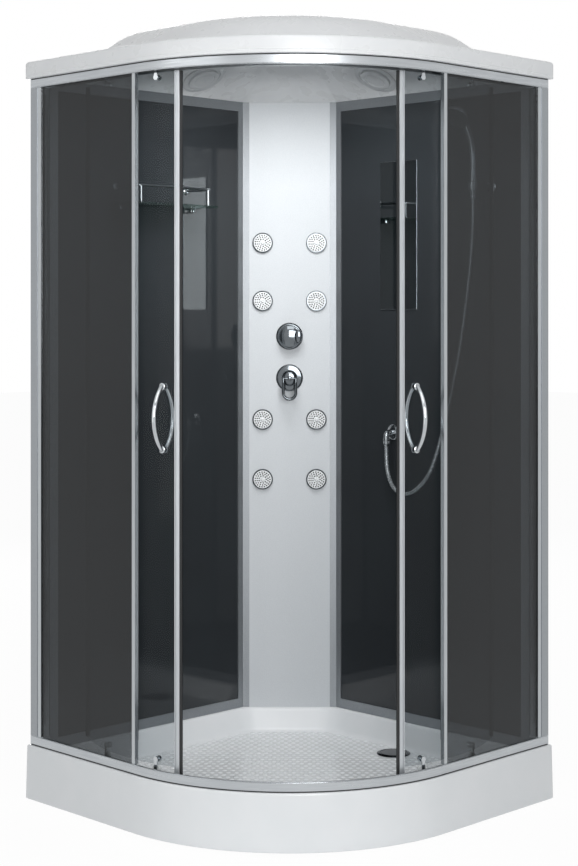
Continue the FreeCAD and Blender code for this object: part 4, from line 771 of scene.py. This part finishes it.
def makeHandle(side):
    s = doorSet
    place = doorPlace(s["handleAt"], side)
    rise, middle = s["handleHigh"] - s["handleLow"], (s["handleHigh"] + s["handleLow"]) / 2
    radius = (rise ** 2 / 4 + s["bow"] ** 2) / (2 * s["bow"])
    half = math.degrees(math.asin(rise / 2 / radius))
    bm = bmesh.new()
    for out, face in ((1, s["outer"]), (-1, s["inner"])):
        centre = Vector((0, -face - out * (s["bossHeight"] + s["bow"] - radius), middle))
        path = arcPoints(centre, (0, -out, 0), (0, 0, 1), radius, -half, half, 33)
        addTube(bm, [place @ p for p in path], s["rod"], 24, roundEnds=True)
        for z in (s["handleLow"], s["handleHigh"]):
            gap = 0 if out == 1 else 0.3
            base = (0, -face - out * gap, z)
            tall = s["bossHeight"] - gap
            boss = [(0, 0), (s["boss"] - 0.4, 0), (s["boss"], 0.5), (s["boss"], tall - 1.4), (s["boss"] - 1.4, tall),
                    (0, tall + 1.2)]
            addLathe(bm, boss, place @ along(base, (0, -out, 0)), 40)
    for z in (s["handleLow"], s["handleHigh"]):
        addTube(bm, [place @ Vector((0, -y, z)) for y in (s["inner"] - 2, s["outer"] + 2)], s["bolt"], 20)
    finishPiece(toObject(side + "DoorHandle", bm, 42), [side + "_door_handle"])


def makeRoller(side, end, number):
    s = doorSet
    radius, height = s["rollers"][end]
    place = doorPlace(s["rollerAt"][number - 1], side) @ along((0, -s["rollerIn"], height), (0, -1, 0))
    wide, bore = s["rollerWidth"], s["bore"]
    bm = bmesh.new()
    shape = [(bore, 0), (radius * 0.42, 0), (radius * 0.46, 0.7), (radius * 0.74, 0.7), (radius * 0.8, 0),
             (radius - 0.7, 0), (radius, 0.7), (radius, 2.4), (radius - 0.5, 2.9), (radius - 0.5, wide - 2.9),
             (radius, wide - 2.4), (radius, wide - 0.7), (radius - 0.7, wide), (radius * 0.8, wide),
             (radius * 0.74, wide - 0.7), (radius * 0.46, wide - 0.7), (radius * 0.42, wide), (bore, wide)]
    addLathe(bm, shape, place, 48, joined=True)
    name = f"{side}DoorRoller{end.capitalize()}{number}"
    finishPiece(toObject(name, bm, 30), [f"{side}_door_roller_{end}_{number}"])


def makeLeadProfile(side):
    # an upright bar: lipped front with a groove beside the lip, and a channel for the magnet strip
    s = doorSet
    place = doorPlace(s["leadAt"], side)
    outline = [(-7, -6.1), (-7, 6.2), (-6.2, 7), (-3.9, 7), (-3.5, 6.6), (-3.4, 4.6), (-1.8, 4.6), (-1.7, 6.2),
               (-1.3, 6.6), (3.6, 6.6), (4, 7), (6.2, 7), (7, 6.2), (7, 3.6), (6.3, 3.3), (6.3, -3.3), (7, -3.6),
               (7, -6.2), (6.2, -7), (1.8, -7), (1.4, -6.3), (-1.4, -6.3), (-1.8, -7), (-6.2, -7)]
    bm = bmesh.new()
    addRings(bm, [[place @ Vector((x, -s["leadMiddle"] - out, z)) for x, out in outline]
                  for z in (s["leadLow"], s["leadHigh"])])
    finishPiece(toObject(side + "LeadProfile", bm, 25), [side + "_door_lead_profile"])


for side in ("left", "right"):
    makeHandle(side)
    makeLeadProfile(side)
    for end in ("bottom", "top"):
        for number in (1, 2):
            makeRoller(side, end, number)
print("doors ready")

# hand shower: outlet, holder and handset
showerSet = {"outlet": (-39, 433, 961), "wall": 463, "rose": 22, "roseHeight": 6, "neck": 8, "drop": 22,
             "behind": 498, "turnX": -300.03, "riser": (-334.84, 447.98), "pipe": 5,
             "holder": (320, 386, 1650), "cup": 15, "cupHeight": 24, "arm": 7.5, "holderRose": 18,
             "gripSmall": 9.2, "gripLarge": 12, "gripHalf": 24, "straight": 70, "thin": 9.5, "bend": 160, "sweep": 46,
             "headAlong": 49.7, "aim": 132}


def roseShape(radius, height):
    return [(0, 0), (radius - 0.3, 0), (radius, 0.5), (radius, height * 0.4), (radius - 1.5, height * 0.7),
            (radius * 0.75, height * 0.95), (radius * 0.5, height), (0, height)]


def makeOutlet():
    s = showerSet
    x, y, z = s["outlet"]
    bm = bmesh.new()
    addLathe(bm, roseShape(s["rose"], s["roseHeight"]), along((x, s["wall"], z), (0, -1, 0)), 64)
    bend = arcPoints((x, y + 9, z - 9), (0, 0, 1), (0, -1, 0), 9, 0, 90, 9)
    path = [(x, s["behind"] + 4, z), (x, s["wall"] - 12, z)] + bend + [(x, y, z - 16), (x, y, z - s["drop"])]
    addTube(bm, path, s["neck"], 32)
    collar = [(0, 0), (9, 0), (9.6, 0.8), (9.6, 4), (9, 5), (0, 5)]
    addLathe(bm, collar, along((x, y, z - s["drop"] + 5), (0, 0, -1)), 48)
    # the pipe behind the wall, with one rounded corner, to the manifold's riser
    end = Vector((*s["riser"], z))
    corner, reach = Vector((s["turnX"], s["behind"], z)), 9
    way = (end - corner).normalized()
    end -= way * 8.3
    turn = [corner + Vector((reach, 0, 0)) * (1 - t) ** 2 + way * reach * t ** 2 for t in (0.25, 0.5, 0.75)]
    pipe = [(x, s["behind"], z), (s["turnX"] + reach, s["behind"], z)] + turn + [corner + way * reach, end]
    addTube(bm, pipe, s["pipe"], 20)
    finishPiece(toObject("hoseOutlet", bm, 34), ["hose_outlet"])


def makeHolder():
    s = showerSet
    x, y, z = s["holder"]
    half = s["cupHeight"] / 2
    slope = (s["gripLarge"] - s["gripSmall"]) / (2 * s["gripHalf"])
    inner = [s["gripSmall"] + (h + s["gripHalf"]) * slope + 0.3 for h in (-half, half)]
    bm = bmesh.new()
    addLathe(bm, [(inner[0] + 0.3, -half), (s["cup"] - 1.2, -half), (s["cup"], -half + 1.4), (s["cup"], half - 1.4),
                  (s["cup"] - 1.2, half), (inner[1] + 0.3, half), (inner[1], half - 0.4), (inner[0], -half + 0.4)],
             Matrix.Translation((x, y, z)), 56, joined=True)
    addTube(bm, [(x, s["wall"], z), (x, y + 30, z), (x, y + 13.2, z)], [s["arm"], s["arm"], s["arm"] + 0.6], 32)
    addLathe(bm, roseShape(s["holderRose"], 7), along((x, s["wall"], z), (0, -1, 0)), 56)
    finishPiece(toObject("showerHolder", bm, 34), ["shower_holder"])


def makeHandset():
    s = showerSet
    base = Vector(s["holder"])
    low, straight, bend = -s["gripHalf"], s["straight"], s["bend"]
    path = [(0, 0, h) for h in (low, low + 1, 0, -low - 2, -low + 2, 40, 56, straight)]
    radii = [s["gripSmall"] - 0.5, s["gripSmall"], (s["gripSmall"] + s["gripLarge"]) / 2, s["gripLarge"] - 0.1,
             s["gripLarge"] - 0.1, 11, 9.9, s["thin"]]
    for i in range(1, 13):
        a = math.radians(s["sweep"] * i / 12)
        path.append((0, bend * (math.cos(a) - 1), straight + bend * math.sin(a)))
        radii.append(s["thin"] + 1.6 * (i / 12) ** 2)
    bm = bmesh.new()
    addTube(bm, [base + Vector(p) for p in path], radii, 32)
    a = math.radians(s["headAlong"])
    centre = base + Vector((0, bend * (math.cos(a) - 1), straight + bend * math.sin(a)))
    aim = math.radians(s["aim"])
    place = along(centre, (0, -math.sin(aim), math.cos(aim)), (1, 0, 0))
    addLathe(bm, [(0, -8), (8, -7.6), (13, -5.6), (20, -1.2), (27, 4.6), (32, 10), (33.7, 13), (34, 16), (33.8, 19.6),
                  (32.6, 21), (30.6, 21), (29.8, 20), (0, 20)], place, 64)
    for radius, count in ((7, 6), (14, 12), (21, 18), (26.5, 24)):  # soft spray nozzles
        for k in range(count):
            t = 2 * math.pi * k / count
            at = place @ Matrix.Translation((radius * math.cos(t), radius * math.sin(t), 19.5))
            addLathe(bm, [(0, 0), (1.3, 0), (1.1, 1.4), (0.7, 1.9), (0, 1.9)], at, 8)
    finishPiece(toObject("handset", bm, 40), ["handset"])


makeOutlet()
makeHolder()
makeHandset()
print("hand shower ready")

# shelf gallery, mirror and drain cover
shelfSet = {"wall": -463, "line": -362, "ends": (-221, 41), "top": 1611, "height": 1657, "rod": 4,
            "rose": 11, "roseHeight": 4, "clamp": 30, "clampHalf": 8, "clampLow": 1593, "clampHigh": 1605}
mirrorSet = {"low": (-87, 459, 1315), "high": (54, 463, 1743), "bevel": 1.2}
coverSet = {"at": (48, 366), "radius": 47.5, "low": 65.3, "high": 69.3, "spigot": 38, "spigotLow": 54}


def makeShelfRail():
    s = shelfSet
    bm = bmesh.new()
    near, far = s["ends"]
    corner = 7
    x, z = s["line"], s["height"]
    path = [(s["wall"], near, z), (x - corner - 8, near, z)]
    path += arcPoints((x - corner, near + corner, z), (0, -1, 0), (1, 0, 0), corner, 0, 90, 8)
    path += [(x, near + 30, z), (x, far - 30, z)]
    path += arcPoints((x - corner, far - corner, z), (1, 0, 0), (0, 1, 0), corner, 0, 90, 8)
    path += [(x - corner - 8, far, z), (s["wall"], far, z)]
    addTube(bm, path, s["rod"], 20)
    for y, inward in ((near, 1), (far, -1)):
        addTube(bm, [(x, y + inward * corner, s["top"]), (x, y + inward * corner, z)], s["rod"], 20)
        foot = [(0, 0), (7, 0), (7, 1.2), (4.5, 2.4), (0, 2.4)]
        addLathe(bm, foot, along((x, y + inward * corner, s["top"]), (0, 0, 1)), 32)
        addLathe(bm, roseShape(s["rose"], s["roseHeight"]), along((s["wall"], y, z), (1, 0, 0)), 40)
        addBox(bm, (s["wall"], y - s["clampHalf"], s["clampLow"]),
               (s["wall"] + s["clamp"], y + s["clampHalf"], s["clampHigh"]), None, 2, 3)
    finishPiece(toObject("shelfRail", bm), ["shelf_rail"])


def makeMirror():
    bm = bmesh.new()
    addBox(bm, mirrorSet["low"], mirrorSet["high"], None, mirrorSet["bevel"], 1)
    finishPiece(toObject("mirror", bm, 20), ["mirror"])


def makeDrainCover():
    s = coverSet
    x, y = s["at"]
    bm = bmesh.new()
    r, low, high = s["radius"], s["low"], s["high"]
    spigot, foot = s["spigot"], s["spigotLow"]
    addLathe(bm, [(spigot - 3, foot), (spigot, foot), (spigot, low), (r - 1, low), (r, low + 0.8), (r - 0.6, low + 2),
                  (r - 4, high - 0.9), (r - 8, high - 0.4), (r - 9, high - 1.2), (r - 11, high - 1.2),
                  (r - 12, high - 0.4), (14, high), (0, high), (0, low), (spigot - 3, low)],
             Matrix.Translation((x, y, 0)), 72, joined=True)
    finishPiece(toObject("drainCover", bm, 30), ["drain_cover"], paintedDarkShadeChrome)


makeShelfRail()
makeMirror()
makeDrainCover()
print("fittings ready")
